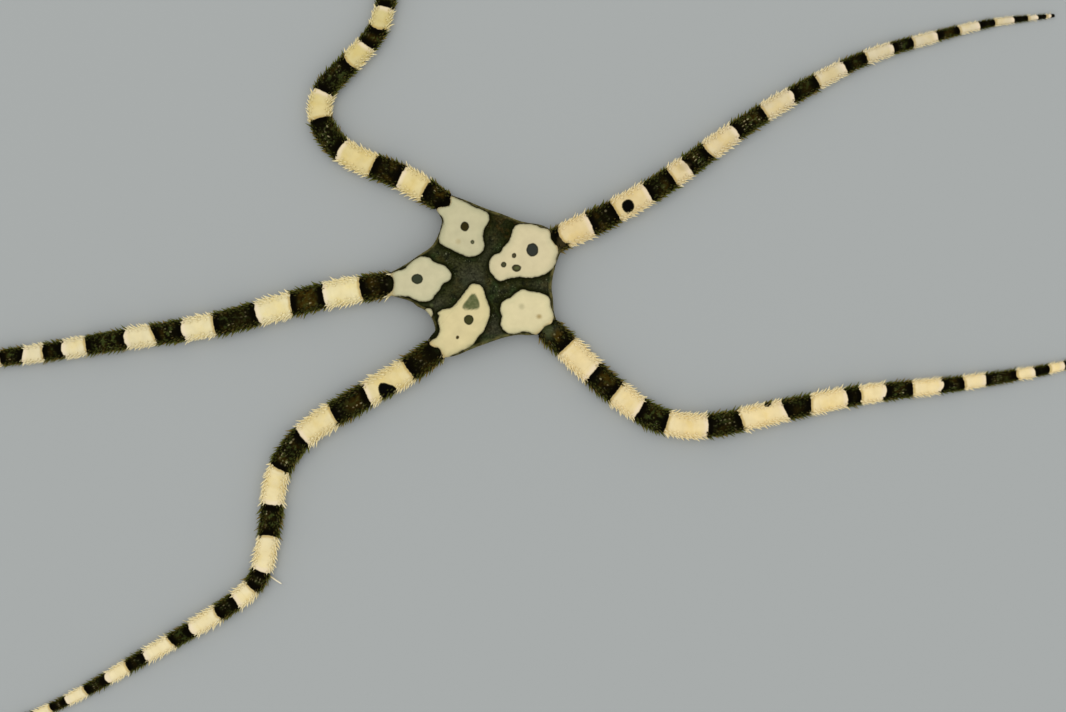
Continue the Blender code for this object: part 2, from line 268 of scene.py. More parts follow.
PATCHES = (
    Patch(((-5.0, 14.7), (-3.7, 14.1), (-2.2, 13.4), (-1.0, 12.7), (0.5, 12.15), (1.4, 11.55), (1.62, 10.8),
           (1.5, 9.9), (0.9, 9.0), (0.55, 7.8), (0.64, 6.8), (0.8, 5.75), (0.55, 4.85), (-0.26, 4.1),
           (-1.15, 3.8), (-2.2, 3.8), (-3.1, 4.1), (-4.0, 4.5), (-5.8, 5.4), (-6.7, 5.9), (-7.2, 6.35),
           (-7.36, 7.2), (-7.1, 8.4), (-6.7, 9.45), (-6.53, 10.2), (-6.75, 10.95), (-7.3, 11.4),
           (-7.7, 12.0), (-7.7, 12.62), (-6.5, 12.72), (-5.5, 12.95), (-5.2, 13.5), (-5.35, 14.4),
           (-5.25, 14.9)), (0.84, 0.87, 0.90)),
    Patch(((6.45, 9.3), (7.35, 9.7), (8.85, 9.7), (10.05, 9.45), (10.95, 9.0), (12.0, 8.85), (12.57, 8.4),
           (12.72, 7.2), (13.15, 6.35), (13.92, 5.45), (14.1, 4.55), (13.77, 3.65), (13.7, 2.75),
           (13.15, 1.85), (12.4, 1.1), (11.5, 0.6), (10.35, 0.2), (8.85, 0.0), (7.05, 0.12), (5.55, -0.1),
           (4.65, -0.3), (3.75, -0.7), (3.15, -0.4), (2.4, 0.35), (1.83, 1.25), (1.68, 2.45), (2.0, 3.35),
           (2.73, 4.1), (3.77, 4.5), (4.0, 5.1), (4.5, 5.7), (5.1, 6.3), (5.56, 7.2), (5.86, 8.3)),
          (1.0, 0.98, 1.0)),
    Patch(((7.8, -2.1), (8.55, -2.35), (9.6, -2.55), (10.95, -2.8), (12.0, -3.2), (12.57, -3.95),
           (12.7, -5.15), (13.15, -6.2), (13.26, -7.25), (12.7, -8.3), (11.7, -8.65), (11.1, -9.35),
           (10.2, -10.15), (9.45, -10.1), (8.7, -9.75), (7.8, -9.65), (6.75, -9.95), (5.7, -10.1),
           (4.8, -9.8), (4.05, -9.05), (3.77, -8.15), (4.0, -6.95), (3.7, -5.9), (3.9, -4.7), (4.65, -4.0),
           (5.7, -3.5), (6.45, -2.8)), (1.07, 1.06, 1.04)),
    Patch(((-1.0, -1.1), (-0.1, -1.3), (0.64, -2.05), (0.93, -2.95), (1.14, -3.8), (1.53, -4.7),
           (1.83, -5.9), (1.68, -7.1), (1.3, -8.0), (0.93, -9.05), (0.5, -9.8), (-0.4, -10.7),
           (-1.0, -11.7), (-1.9, -12.45), (-3.1, -13.05), (-4.3, -13.6), (-5.3, -14.1), (-6.2, -14.7),
           (-6.65, -14.4), (-6.92, -13.4), (-7.3, -12.65), (-8.2, -12.42), (-9.1, -11.85), (-8.5, -11.15),
           (-7.75, -10.7), (-7.35, -10.1),
           (-7.1, -9.2), (-7.4, -8.3), (-7.5, -7.4), (-7.27, -6.8), (-7.57, -6.35), (-7.0, -5.9),
           (-6.1, -5.65), (-4.9, -5.3), (-4.0, -4.4), (-3.1, -3.25), (-2.2, -2.05), (-1.75, -1.45)),
          (1.04, 1.0, 0.90)),
    Patch(((-16.4, 0.75), (-15.6, 0.95), (-14.75, 1.25), (-13.7, 1.5), (-12.95, 2.15), (-12.05, 3.05),
           (-11.15, 3.65), (-10.1, 3.8), (-9.05, 3.5), (-8.15, 2.75), (-7.3, 2.45), (-6.4, 2.15),
           (-5.5, 1.25), (-5.03, 0.5), (-5.35, -0.4), (-6.4, -1.0), (-6.8, -1.4), (-7.3, -2.3),
           (-8.15, -3.2), (-8.5, -3.8), (-9.35, -4.2), (-10.55, -4.27), (-11.75, -3.85), (-12.65, -3.4),
           (-13.85, -3.3), (-15.4, -3.3), (-16.9, -3.2), (-16.15, -2.65), (-15.6, -2.0), (-15.4, -1.3),
           (-15.5, -0.4), (-15.85, 0.3)), (0.89, 0.92, 0.96)),
    Patch(((-9.8, -5.7), (-8.95, -5.55), (-8.5, -6.05), (-8.55, -6.8), (-8.9, -7.1), (-9.4, -6.6))),
)
MOSS_WEDGE = Patch(((-1.15, -2.9), (-0.35, -3.8), (-0.05, -5.2), (-0.7, -5.65), (-2.5, -5.65), (-3.05, -5.2),
                    (-2.2, -3.95)))
INK_BLOT = Patch(((-17.75, -18.85), (-17.1, -18.85), (-16.6, -19.05), (-15.6, -19.35), (-15.05, -20.0),
                  (-15.6, -20.85), (-16.35, -21.4), (-16.8, -21.75), (-17.1, -22.4), (-17.4, -22.2),
                  (-17.7, -21.4), (-18.15, -20.7), (-18.3, -19.9), (-18.15, -19.2)))
# What the blots on the arms are filled with
ARM_INK: Colour = (0.0026, 0.0024, 0.0018)
SPOTS = (
    Spot(-2.68, 9.16, 0.78, 0.88, stain=(0.028, 0.022, 0.005)),
    Spot(-1.30, 6.39, 0.36, 0.40, stain=(0.13, 0.135, 0.065)),
    Spot(-3.84, 6.47, 0.45, 0.45, Tint.TAN, 0.35),
    Spot(9.44, 4.98, 1.08, 1.22, stain=(0.031, 0.034, 0.027)),
    Spot(6.16, 3.94, 0.42, 0.46, stain=(0.075, 0.063, 0.030)),
    Spot(4.31, 2.30, 0.50, 0.52, stain=(0.064, 0.062, 0.030)),
    Spot(6.61, 1.70, 0.85, 0.66),
    Spot(6.65, 1.72, 0.44, 0.30, Tint.MOSS, 0.9),
    Spot(10.63, -6.96, 0.42, 0.38, Tint.TAN, 0.95),
    Spot(7.50, -5.17, 0.45, 0.50, Tint.MOSS, 0.30),
    Spot(-1.96, -7.55, 0.88, 0.90, stain=(0.043, 0.043, 0.014)),
    Spot(-3.99, -10.69, 0.32, 0.34, stain=(0.075, 0.048, 0.012)),
    Spot(-11.21, -0.24, 1.04, 0.92, stain=(0.034, 0.041, 0.023)),
    Spot(-8.62, -4.96, 0.26, 0.24, Tint.MOSS, 0.7),
    Spot(26.64, 12.96, 1.12, 1.22, stain=ARM_INK),
    Spot(51.84, -22.68, 0.72, 0.54, stain=ARM_INK),
    Spot(36.60, 20.00, 1.00, 0.75, Tint.TAN, 0.4),
    Spot(4.6, 9.2, 2.6, 2.8, Tint.RUST),
    Spot(-4.6, 7.0, 2.4, 1.0, Tint.RUST, 0.4),
    Spot(-1.4, -1.3, 2.6, 3.2, Tint.BLOOM),
    Spot(2.9, -9.3, 2.4, 2.0, Tint.BLOOM, 0.9),
    Spot(11.8, -1.4, 1.7, 0.8, Tint.BLOOM, 0.8),
    Spot(-7.9, -4.9, 1.6, 1.2, Tint.BLOOM, 0.9),
    Spot(1.2, 4.0, 1.1, 2.2, Tint.BLOOM, 0.5),
    Spot(14.7, 6.2, 0.8, 1.3, Tint.TAN, 0.09),
    Spot(-1.5, -12.45, 0.8, 0.5, Tint.MOSS, 0.35),
    Spot(1.3, -11.35, 1.0, 0.5, Tint.MOSS, 0.35),
    Spot(4.2, -10.45, 1.0, 0.4, Tint.MOSS, 0.30),
    Spot(12.6, -9.6, 1.9, 1.4, Tint.BLOOM, 0.9),
    Spot(12.2, -9.4, 0.9, 1.2, Tint.MOSS, 0.25),
)


def patch_depth(places: np.ndarray) -> np.ndarray:
    """How far inside one of the disc's patches each place is, below zero on the ground."""
    return np.max([patch.depth(places) for patch in PATCHES], axis=0)


def patch_cast(places: np.ndarray) -> np.ndarray:
    """How the colour of the nearest of the disc's patches is off the usual one, at each place."""
    nearest = np.argmax([patch.depth(places) for patch in PATCHES], axis=0)
    return np.array([patch.cast for patch in PATCHES])[nearest]


def ink_distance(places: np.ndarray) -> tuple[np.ndarray, np.ndarray]:
    """How far outside every dark spot each place is, below zero inside one, and what the nearest is filled with."""
    dark = [spot for spot in SPOTS if spot.tint is Tint.INK]
    gaps = np.array([*(spot.distance(places) for spot in dark), -INK_BLOT.depth(places)])
    stains = np.array([*(spot.stain for spot in dark), ARM_INK])
    return gaps.min(axis=0), stains[gaps.argmin(axis=0)]


def smooth_line(points: tuple[Point, ...] | list[Point], steps: int, closed: bool = False) -> list[Vector]:
    """A curve through the points, which leaves each one along the line between its neighbours.

    Args:
        points: places from above.
        steps: how many pieces each stretch between two of them gets.
        closed: whether the curve comes back to its start.

    Returns:
        The curve's points, at height 0.
    """
    marks = [Vector((x, y, 0.0)) for x, y in points]
    count = len(marks)
    slopes = []
    for i in range(count):
        before = marks[i - 1] if closed or i > 0 else marks[i]
        after = marks[(i + 1) % count] if closed or i < count - 1 else marks[i]
        slopes.append((after - before).normalized())
    line = [marks[0]]
    for i in range(count if closed else count - 1):
        j = (i + 1) % count
        reach = (marks[j] - marks[i]).length / 3
        handles = marks[i] + slopes[i] * reach, marks[j] - slopes[j] * reach
        line.extend(interpolate_bezier(marks[i], *handles, marks[j], steps + 1)[1:])
    return line[:-1] if closed else line


def sideways(heading: Vector) -> Vector:
    """The level direction to the left of a heading."""
    return Vector((-heading.y, heading.x, 0.0))


@dataclass
class Section:
    """The outline of an arm across its length: flat below, round above.

    Attributes:
        across: shares of the half width, from the middle of the underside up to the middle of the back.
        up: shares of the height at the same points.
    """

    across: tuple[float, ...] = (0.0, 0.34, 0.64, 0.86, 0.975, 1.0, 0.955, 0.85, 0.68, 0.46, 0.23, 0.0)
    up: tuple[float, ...] = (0.0, 0.0, 0.012, 0.09, 0.26, 0.45, 0.63, 0.78, 0.89, 0.96, 0.993, 1.0)

    def ring(self) -> np.ndarray:
        """All the points once round, as signed across and up shares."""
        right = list(zip(self.across, self.up))
        left = [(-x, z) for x, z in reversed(right[1:-1])]
        return np.array(right + left)

    def across_at(self, up: float) -> float:
        """How far out the side stands at a share of the height."""
        return float(np.interp(up, self.up[1:], self.across[1:]))

    def crest_at(self, across: np.ndarray) -> np.ndarray:
        """How high the back stands at unsigned shares of the half width, as shares of the height."""
        widest = self.across.index(1.0)
        return np.interp(across, self.across[:widest - 1:-1], self.up[:widest - 1:-1])

    def around_at(self, across: float, up: float) -> float:
        """The nearest ring point's share of the way round, for the bake map."""
        ring = self.ring()
        return float(np.argmin(np.hypot(ring[:, 0] - across, ring[:, 1] - up))) / len(ring)


@dataclass
class Arm:
    """One arm: its middle line, its joints, and how wide and how pale it is along them.

    Attributes:
        plan: what sets it apart.
        number: its place in the bake map, from 0.
        base_width, tip_width: the widths of its body without spines.
        height_share: its height as a share of its width.
        pinch_reach: how soon the narrowing at the disc is over.
        pitch, tip_pitch, pitch_power: the length of a joint at the disc and at the tip, and how late it shortens.
        start_radius: how far from the disc's middle it starts, beneath the disc.
        cast_start, cast_reach: where its colour starts to turn to the far cast, and over what length.
        section: its outline across.
    """

    plan: ArmPlan
    number: int
    base_width: float = 4.4
    tip_width: float = 0.6
    height_share: float = 0.8
    pinch_reach: float = 3.0
    pitch: float = 1.8
    tip_pitch: float = 1.0
    pitch_power: float = 1.3
    start_radius: float = 3.75
    cast_start: float = 12.0
    cast_reach: float = 50.0
    section: Section = field(default_factory=Section)

    def __post_init__(self) -> None:
        """Measures the middle line and counts the joints along it."""
        self.line = smooth_line(self.plan.route, 24)
        self.marks = [0.0]
        for a, b in zip(self.line, self.line[1:]):
            self.marks.append(self.marks[-1] + (b - a).length)
        self.length = self.marks[-1]
        self.root_length = self.place(0.0).length - self.start_radius
        self.reads = np.linspace(-self.root_length, self.length, 2000)
        shares = np.clip(self.reads / self.length, 0.0, 1.0)
        pitches = self.pitch + (self.tip_pitch - self.pitch) * shares**self.pitch_power
        steps = np.diff(self.reads) / ((pitches[1:] + pitches[:-1]) / 2)
        self.joints = np.concatenate([[0.0], np.cumsum(steps)])
        chance = random.Random(f"bands {self.plan.letter}")
        turns = range(len(self.plan.turns))
        self.bows = np.array([self.plan.bows.get(i, 0.06) for i in turns])
        self.slants = np.array([self.plan.slants.get(i, chance.uniform(-0.12, 0.12)) for i in turns])

    def place(self, distance: float) -> Vector:
        """The point on the middle line there. Past either end the line carries on straight."""
        last = len(self.marks) - 1
        i = min(max(bisect.bisect_left(self.marks, distance), 1), last)
        share = (distance - self.marks[i - 1]) / (self.marks[i] - self.marks[i - 1])
        return self.line[i - 1].lerp(self.line[i], share)

    def heading(self, distance: float) -> Vector:
        """The direction towards the tip there."""
        distance = max(distance, 0.0)
        return (self.place(distance + 0.4) - self.place(distance - 0.4)).normalized()

    def share(self, distance: float) -> float:
        """How far along the arm that is, 0 at the disc and 1 at the tip."""
        return min(max(distance / self.length, 0.0), 1.0)

    def width(self, distance: float) -> float:
        """How wide the arm's body is there."""
        taper = 1 - self.share(distance) ** self.plan.taper
        pinch = 1 - self.plan.pinch * math.exp(-max(distance, 0.0) / self.pinch_reach)
        return (self.tip_width + (self.base_width - self.tip_width) * taper) * pinch

    def distance_at(self, joint: float | np.ndarray) -> float | np.ndarray:
        """How far along the arm a joint's number is reached."""
        return np.interp(joint, self.joints, self.reads)

    def joint_at(self, distance: float | np.ndarray) -> float | np.ndarray:
        """The number of the joint there, which grows evenly inside a joint."""
        return np.interp(distance, self.reads, self.joints)

    def paleness(self, distances: np.ndarray, across: np.ndarray) -> np.ndarray:
        """How far inside a pale band each place is.

        Args:
            distances: N distances along the arm.
            across: N signed shares of the half width.

        Returns:
            N distances to the nearest change of tone, below zero in dark bands.
        """
        off = self.past_turns(distances, across)
        passed = (off > 0).sum(axis=1)
        return (2 * (passed % 2) - 1) * np.abs(off).min(axis=1)

    def far_end(self, distances: np.ndarray, across: np.ndarray) -> np.ndarray:
        """1 where the nearest change of tone is a pale band's end towards the tip, and 0 at its other end."""
        return np.abs(self.past_turns(distances, across)).argmin(axis=1) % 2.0

    def past_turns(self, distances: np.ndarray, across: np.ndarray) -> np.ndarray:
        """How far past every change of tone each place is, as a table of places by changes."""
        edges = np.array(self.plan.turns) - self.bows * across[:, None] ** 2 + self.slants * across[:, None]
        return distances[:, None] - edges

    def shoulder_at(self, across: np.ndarray) -> np.ndarray:
        """How far along the arm the disc's skin reaches, at signed shares of the half width."""
        left, right = self.plan.shoulders
        return (left + right) / 2 + (left - right) / 2 * across

    def disc_share(self, distances: np.ndarray, across: np.ndarray, pale: np.ndarray) -> np.ndarray:
        """How far the skin's colours are the disc's, which fade out round the end of the disc's skin."""
        early = np.where(pale < 0, self.plan.handover, 0.0)
        return np.clip(0.5 - (distances + early - self.shoulder_at(across)) / 1.6, 0.0, 1.0)

    def cast_at(self, distances: np.ndarray) -> np.ndarray:
        """How the pale colour is off the usual one at each distance."""
        share = np.clip((distances - self.cast_start) / self.cast_reach, 0.0, 1.0)[:, None]
        return np.array(self.plan.cast) * (1.0 - share) + np.array(self.plan.far_cast) * share

    def from_root(self, places: np.ndarray) -> tuple[np.ndarray, np.ndarray]:
        """Distances along the arm and shares of its half width, for places near its root."""
        start, heading = self.place(0.0), self.heading(0.0)
        off = places[:, :2] - (start.x, start.y)
        aside = off @ np.array((-heading.y, heading.x))
        return off @ np.array((heading.x, heading.y)), aside / (self.width(0.0) / 2)

    def bake_place(self, distance: float | np.ndarray, around: float | np.ndarray) -> tuple:
        """Where a place on the arm lies on the unwrapped skin, whose arms are strips below the disc."""
        along = (distance + STRIP_BACK) / STRIP_LENGTH
        return (BAKE_EDGE + (1 - 2 * BAKE_EDGE) * along,
                BAKE_EDGE + STRIP_PITCH * self.number + STRIP_WIDTH * around)


@dataclass(frozen=True)
class Placement:
    """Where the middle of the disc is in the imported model, in metres."""

    shift: Vector

    @classmethod
    def from_frame(cls) -> "Placement":
        """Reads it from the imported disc's box."""
        low, _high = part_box("disc")
        return cls(Vector((low.x - DISC_CORNER[0] * MM, low.y - DISC_CORNER[1] * MM, 0.0)))

    def metres(self, points: np.ndarray) -> np.ndarray:
        """N × 3 points in millimetres from the disc's middle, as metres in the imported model."""
        return points * MM + np.array(self.shift)


def write_attribute(mesh: bpy.types.Mesh, name: str, values: np.ndarray) -> None:
    """Keeps one number, or one vector, for each vertex of a mesh.

    Args:
        mesh: the mesh.
        name: the attribute's name.
        values: N numbers or N × 3 vectors.
    """
    if values.ndim == 1:
        layer = mesh.attributes.new(name, "FLOAT", "POINT")
        layer.data.foreach_set("value", values.astype(np.float32))
    else:
        layer = mesh.attributes.new(name, "FLOAT_VECTOR", "POINT")
        layer.data.foreach_set("vector", values.astype(np.float32).ravel())


def add_piece(name: str, mesh: bpy.types.Mesh) -> bpy.types.Object:
    """Puts a finished mesh into the scene, riding on the model's one body.

    Args:
        name: the piece's name.
        mesh: its mesh, already in place.

    Returns:
        The new object.
    """
    piece = bpy.data.objects.new(name, mesh)
    mesh.name = name
    bpy.context.scene.collection.objects.link(piece)
    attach(piece, BODY)
    LOG.info("%s: %d faces", name, len(mesh.polygons))
    return piece


class Value:
    """A socket that sums and products can be written with."""

    def __init__(self, graph: "Graph", socket: bpy.types.NodeSocket) -> None:
        """Takes the socket, and the graph that its sums are laid in."""
        self.graph = graph
        self.socket = socket

    def __add__(self, other: object) -> "Value":
        """The sum."""
        return self.graph.math("ADD", self, other)

    def __sub__(self, other: object) -> "Value":
        """The difference."""
        return self.graph.math("SUBTRACT", self, other)

    def __rsub__(self, other: object) -> "Value":
        """A plain number less this."""
        return self.graph.math("SUBTRACT", other, self)

    def __mul__(self, other: object) -> "Value":
        """The product."""
        return self.graph.math("MULTIPLY", self, other)

    def __pow__(self, power: float) -> "Value":
        """A power of this."""
        return self.graph.math("POWER", self, power)

    def __abs__(self) -> "Value":
        """This without its sign."""
        return self.graph.math("ABSOLUTE", self)

    def fract(self) -> "Value":
        """What is left after the whole number."""
        return self.graph.math("FRACT", self)


class Graph:
    """Short ways to lay nodes in one tree."""

    def __init__(self, tree: bpy.types.NodeTree) -> None:
        """Takes the tree to build in."""
        self.tree = tree

    def add(self, kind: str, feeds: dict | None = None, **settings: object) -> bpy.types.Node:
        """Lays a node.

        Args:
            kind: its type.
            feeds: values or links for its inputs, by name or number.
            settings: its properties.

        Returns:
            The node.
        """
        node = self.tree.nodes.new(kind)
        for name, value in settings.items():
            setattr(node, name, value)
        for name, value in (feeds or {}).items():
            self.feed(node.inputs[name], value)
        return node

    def read(self, kind: str, output: str | int, feeds: dict | None = None, **settings: object) -> Value:
        """One output of a new node."""
        return Value(self, self.add(kind, feeds, **settings).outputs[output])

    def feed(self, socket: bpy.types.NodeSocket, value: object) -> None:
        """Links a socket, or sets its own value when what comes is plain."""
        if isinstance(value, Value):
            self.tree.links.new(value.socket, socket)
        else:
            socket.default_value = value

    def math(self, operation: str, *values: object, clamp: bool = False) -> Value:
        """One sum on one to three numbers."""
        return self.read("ShaderNodeMath", 0, dict(enumerate(values)), operation=operation, use_clamp=clamp)

    def vector(self, operation: str, a: object, b: object) -> Value:
        """One sum on two vectors."""
        return self.read("ShaderNodeVectorMath", 0, {0: a, 1: b}, operation=operation)

    def scaled(self, colour: object, amount: object) -> Value:
        """A colour or vector made larger or smaller."""
        return self.read("ShaderNodeVectorMath", 0, {0: colour, "Scale": amount}, operation="SCALE")

    def joined(self, x: object, y: object, z: object = 0.0) -> Value:
        """A vector from its three numbers."""
        return self.read("ShaderNodeCombineXYZ", 0, {"X": x, "Y": y, "Z": z})

    def step(self, value: object, start: float, end: float, low: float = 0.0, high: float = 1.0) -> Value:
        """A smooth step from low to high while the value goes from start to end."""
        feeds = {"Value": value, "From Min": start, "From Max": end, "To Min": low, "To Max": high}
        return self.read("ShaderNodeMapRange", "Result", feeds, interpolation_type="SMOOTHSTEP")

    def mix(self, factor: object, a: object, b: object, blend: str = "MIX") -> Value:
        """Two colours mixed."""
        a, b = ((*colour, 1.0) if isinstance(colour, tuple) else colour for colour in (a, b))
        return self.read("ShaderNodeMix", 2, {0: factor, 6: a, 7: b}, data_type="RGBA", blend_type=blend)

    def ramp(self, value: object, reach: float, stops: tuple[tuple[float, Colour], ...]) -> Value:
        """A colour that goes through stops as the value grows.

        Args:
            value: the number read.
            reach: how far from zero the ramp's two ends are.
            stops: values and their colours.

        Returns:
            The colour.
        """
        share = self.read("ShaderNodeMapRange", "Result", {"Value": value, "From Min": -reach, "From Max": reach})
        node = self.add("ShaderNodeValToRGB", {"Fac": share})
        elements = node.color_ramp.elements
        while len(elements) < len(stops):
            elements.new(0.5)
        for element, (place, colour) in zip(elements, stops):
            element.position = (place + reach) / (2 * reach)
            element.color = (*colour, 1.0)
        return Value(self, node.outputs["Color"])

    def attribute(self, name: str, kind: str = "Fac") -> Value:
        """A number or vector kept on the mesh."""
        return self.read("ShaderNodeAttribute", kind, attribute_name=name)

    def noise(self, vector: object, scale: float, detail: float) -> Value:
        """Soft random values about 0.5."""
        return self.read("ShaderNodeTexNoise", "Fac", {"Vector": vector, "Scale": scale, "Detail": detail})


def new_group(name: str, kind: str, inputs: tuple[tuple[str, str, object], ...],
              outputs: tuple[tuple[str, str], ...]) -> tuple[bpy.types.NodeTree, Graph, dict]:
    """An empty node group with its sockets.

    Args:
        name: the group's name.
        kind: the type of tree.
        inputs: name, socket type and default value of each input.
        outputs: name and socket type of each output.

    Returns:
        The tree, a graph to build in it, and its inputs and output sockets by name.
    """
    tree = bpy.data.node_groups.new(name, kind)
    for label, socket, default in inputs:
        made = tree.interface.new_socket(label, in_out="INPUT", socket_type=socket)
        if default is not None:
            made.default_value = default
    for label, socket in outputs:
        tree.interface.new_socket(label, in_out="OUTPUT", socket_type=socket)
    graph = Graph(tree)
    entry, leave = graph.add("NodeGroupInput"), graph.add("NodeGroupOutput")
    sockets = {label: Value(graph, entry.outputs[label]) for label, _socket, _default in inputs}
    sockets.update({f"out {label}": leave.inputs[label] for label, _socket in outputs})
    return tree, graph, sockets


@dataclass(frozen=True)
class MarkingTones:
    """The colours of bands, patches and spots, read by how far a place is inside the pale.

    Attributes:
        reach: how far inside or outside the pale the colours still change.
        arm_stops: the arms' colours, from deep in a dark band to deep in a pale one.
        disc_stops: the disc's colours, from its ground to the middle of a patch.
        rust, bloom: brown and grey-green clouds on the disc's ground.
        moss, tan: the other spots' colours.
        rim: the thin edge of the disc.
        far_rim, near_rim: the ends of a pale band that are nearer the tip and nearer the disc.
    """

    reach: float = 4.0
    arm_stops: tuple[tuple[float, Colour], ...] = (
        (-3.6, (0.0055, 0.0044, 0.0012)), (-1.0, (0.0030, 0.0024, 0.0008)), (-0.05, (0.0020, 0.0015, 0.0008)),
        (0.07, (0.66, 0.54, 0.29)), (0.4, (0.765, 0.635, 0.36)), (1.4, (0.775, 0.635, 0.345)),
        (3.4, (0.765, 0.612, 0.31)))
    disc_stops: tuple[tuple[float, Colour], ...] = (
        (-3.6, (0.032, 0.032, 0.014)), (-1.6, (0.027, 0.028, 0.010)), (-0.75, (0.014, 0.016, 0.004)),
        (-0.3, (0.0062, 0.0072, 0.0012)), (-0.06, (0.0035, 0.0040, 0.0008)), (0.08, (0.34, 0.31, 0.18)),
        (0.32, (0.53, 0.485, 0.285)), (1.2, (0.59, 0.525, 0.31)), (3.4, (0.585, 0.52, 0.31)))
    rust: Colour = (0.026, 0.0165, 0.0030)
    bloom: Colour = (0.0345, 0.0345, 0.0200)
    moss: Colour = (0.093, 0.107, 0.040)
    tan: Colour = (0.34, 0.25, 0.10)
    rim: Colour = (0.175, 0.150, 0.050)
    far_rim: Colour = (0.77, 0.64, 0.47)
    near_rim: Colour = (0.42, 0.28, 0.07)

    def group(self) -> bpy.types.NodeTree:
        """Builds the node group that the skin and the spines share."""
        number, triple = "NodeSocketFloat", "NodeSocketVector"
        tree, graph, io = new_group(
            "markings", "ShaderNodeTree",
            (("Vector", triple, None), ("Pale", number, 0.0), ("Disc", number, 0.0), ("Ragged", number, 0.2),
             ("Mottle", number, 0.1), ("Cast", triple, None)),
            (("Color", "NodeSocketColor"), ("Depth", number)))
        depth = io["Pale"] + (graph.noise(io["Vector"], 1500.0, 3.0) - 0.5) * io["Ragged"]
        colour = graph.mix(io["Disc"], graph.ramp(depth, self.reach, self.arm_stops),
                           graph.ramp(depth, self.reach, self.disc_stops))
        mottle = io["Mottle"] * graph.step(depth, -0.1, 0.2, 1.0, 0.55)
        shade = (graph.noise(io["Vector"], 620.0, 4.0) - 0.5) * mottle + 1.0
        off = graph.mix(graph.step(depth, -0.05, 0.1), (1.0, 1.0, 1.0), io["Cast"])
        graph.feed(io["out Color"], graph.mix(1.0, graph.scaled(colour, shade), off, "MULTIPLY"))
        graph.feed(io["out Depth"], depth)
        return tree


class Coat:
    """A new material with one shader, and what every finish reads: object coordinates and noise on them."""

    def __init__(self, name: str, specular: float) -> None:
        """Makes the material."""
        self.material = bpy.data.materials.new(name)
        self.material.use_nodes = True
        self.graph = Graph(self.material.node_tree)
        self.shader = self.material.node_tree.nodes["Principled BSDF"]
        self.shader.inputs["Specular IOR Level"].default_value = specular
        self.where = self.graph.read("ShaderNodeTexCoord", "Object")

    def noise(self, scale: float, detail: float) -> Value:
        """Soft random values about 0.5."""
        return self.graph.noise(self.where, scale, detail)

    def cloud(self, scale: float, detail: float, start: float, end: float, low: float = 0.0,
              high: float = 1.0) -> Value:
        """Noise cut to clouds: low up to the start, and high from the end on."""
        return self.graph.step(self.noise(scale, detail), start, end, low, high)

    def mark(self, markings: bpy.types.NodeTree, disc: object, ragged: float, mottle: float) -> Value:
        """Lays the shared markings.

        Args:
            markings: their node group.
            disc: how far the colours are the disc's.
            ragged: how uneven the edges of the bands and patches are.
            mottle: how far the tones vary.

        Returns:
            The colour. How far inside the pale a place is stays in self.depth.
        """
        feeds = {"Vector": self.where, "Pale": self.graph.attribute("pale"), "Disc": disc, "Ragged": ragged,
                 "Mottle": mottle, "Cast": self.graph.attribute("cast", "Vector")}
        node = self.graph.add("ShaderNodeGroup", feeds, node_tree=markings)
        self.depth = Value(self.graph, node.outputs["Depth"])
        return Value(self.graph, node.outputs["Color"])

    def finish(self, colour: Value, rough: Value, height: Value, strength: float,
               distance: float) -> bpy.types.Material:
        """Feeds the shader.

        Args:
            colour: the base colour.
            rough: the roughness.
            height: the bumps' height.
            strength, distance: how strong they are, and how high in metres.

        Returns:
            The material.
        """
        bump = self.graph.read("ShaderNodeBump", "Normal", {
            "Strength": strength, "Distance": distance, "Height": height})
        for name, value in (("Base Color", colour), ("Roughness", rough), ("Normal", bump)):
            self.graph.feed(self.shader.inputs[name], value)
        return self.material


@dataclass(frozen=True)
class Cloud:
    """Soft patches of one colour, cut from noise.

    Attributes:
        scale, detail: the noise's.
        start, end: where it begins to show, and where it shows in full.
        amount: how far it covers what is beneath.
        colour: its colour.
    """

    scale: float
    detail: float
    start: float
    end: float
    amount: float
    colour: Colour

    def over(self, coat: Coat, mask: Value, colour: Value) -> Value:
        """The colour with this laid over it inside a mask."""
        shown = coat.cloud(self.scale, self.detail, self.start, self.end) * mask * self.amount
        return coat.graph.mix(shown, colour, self.colour)


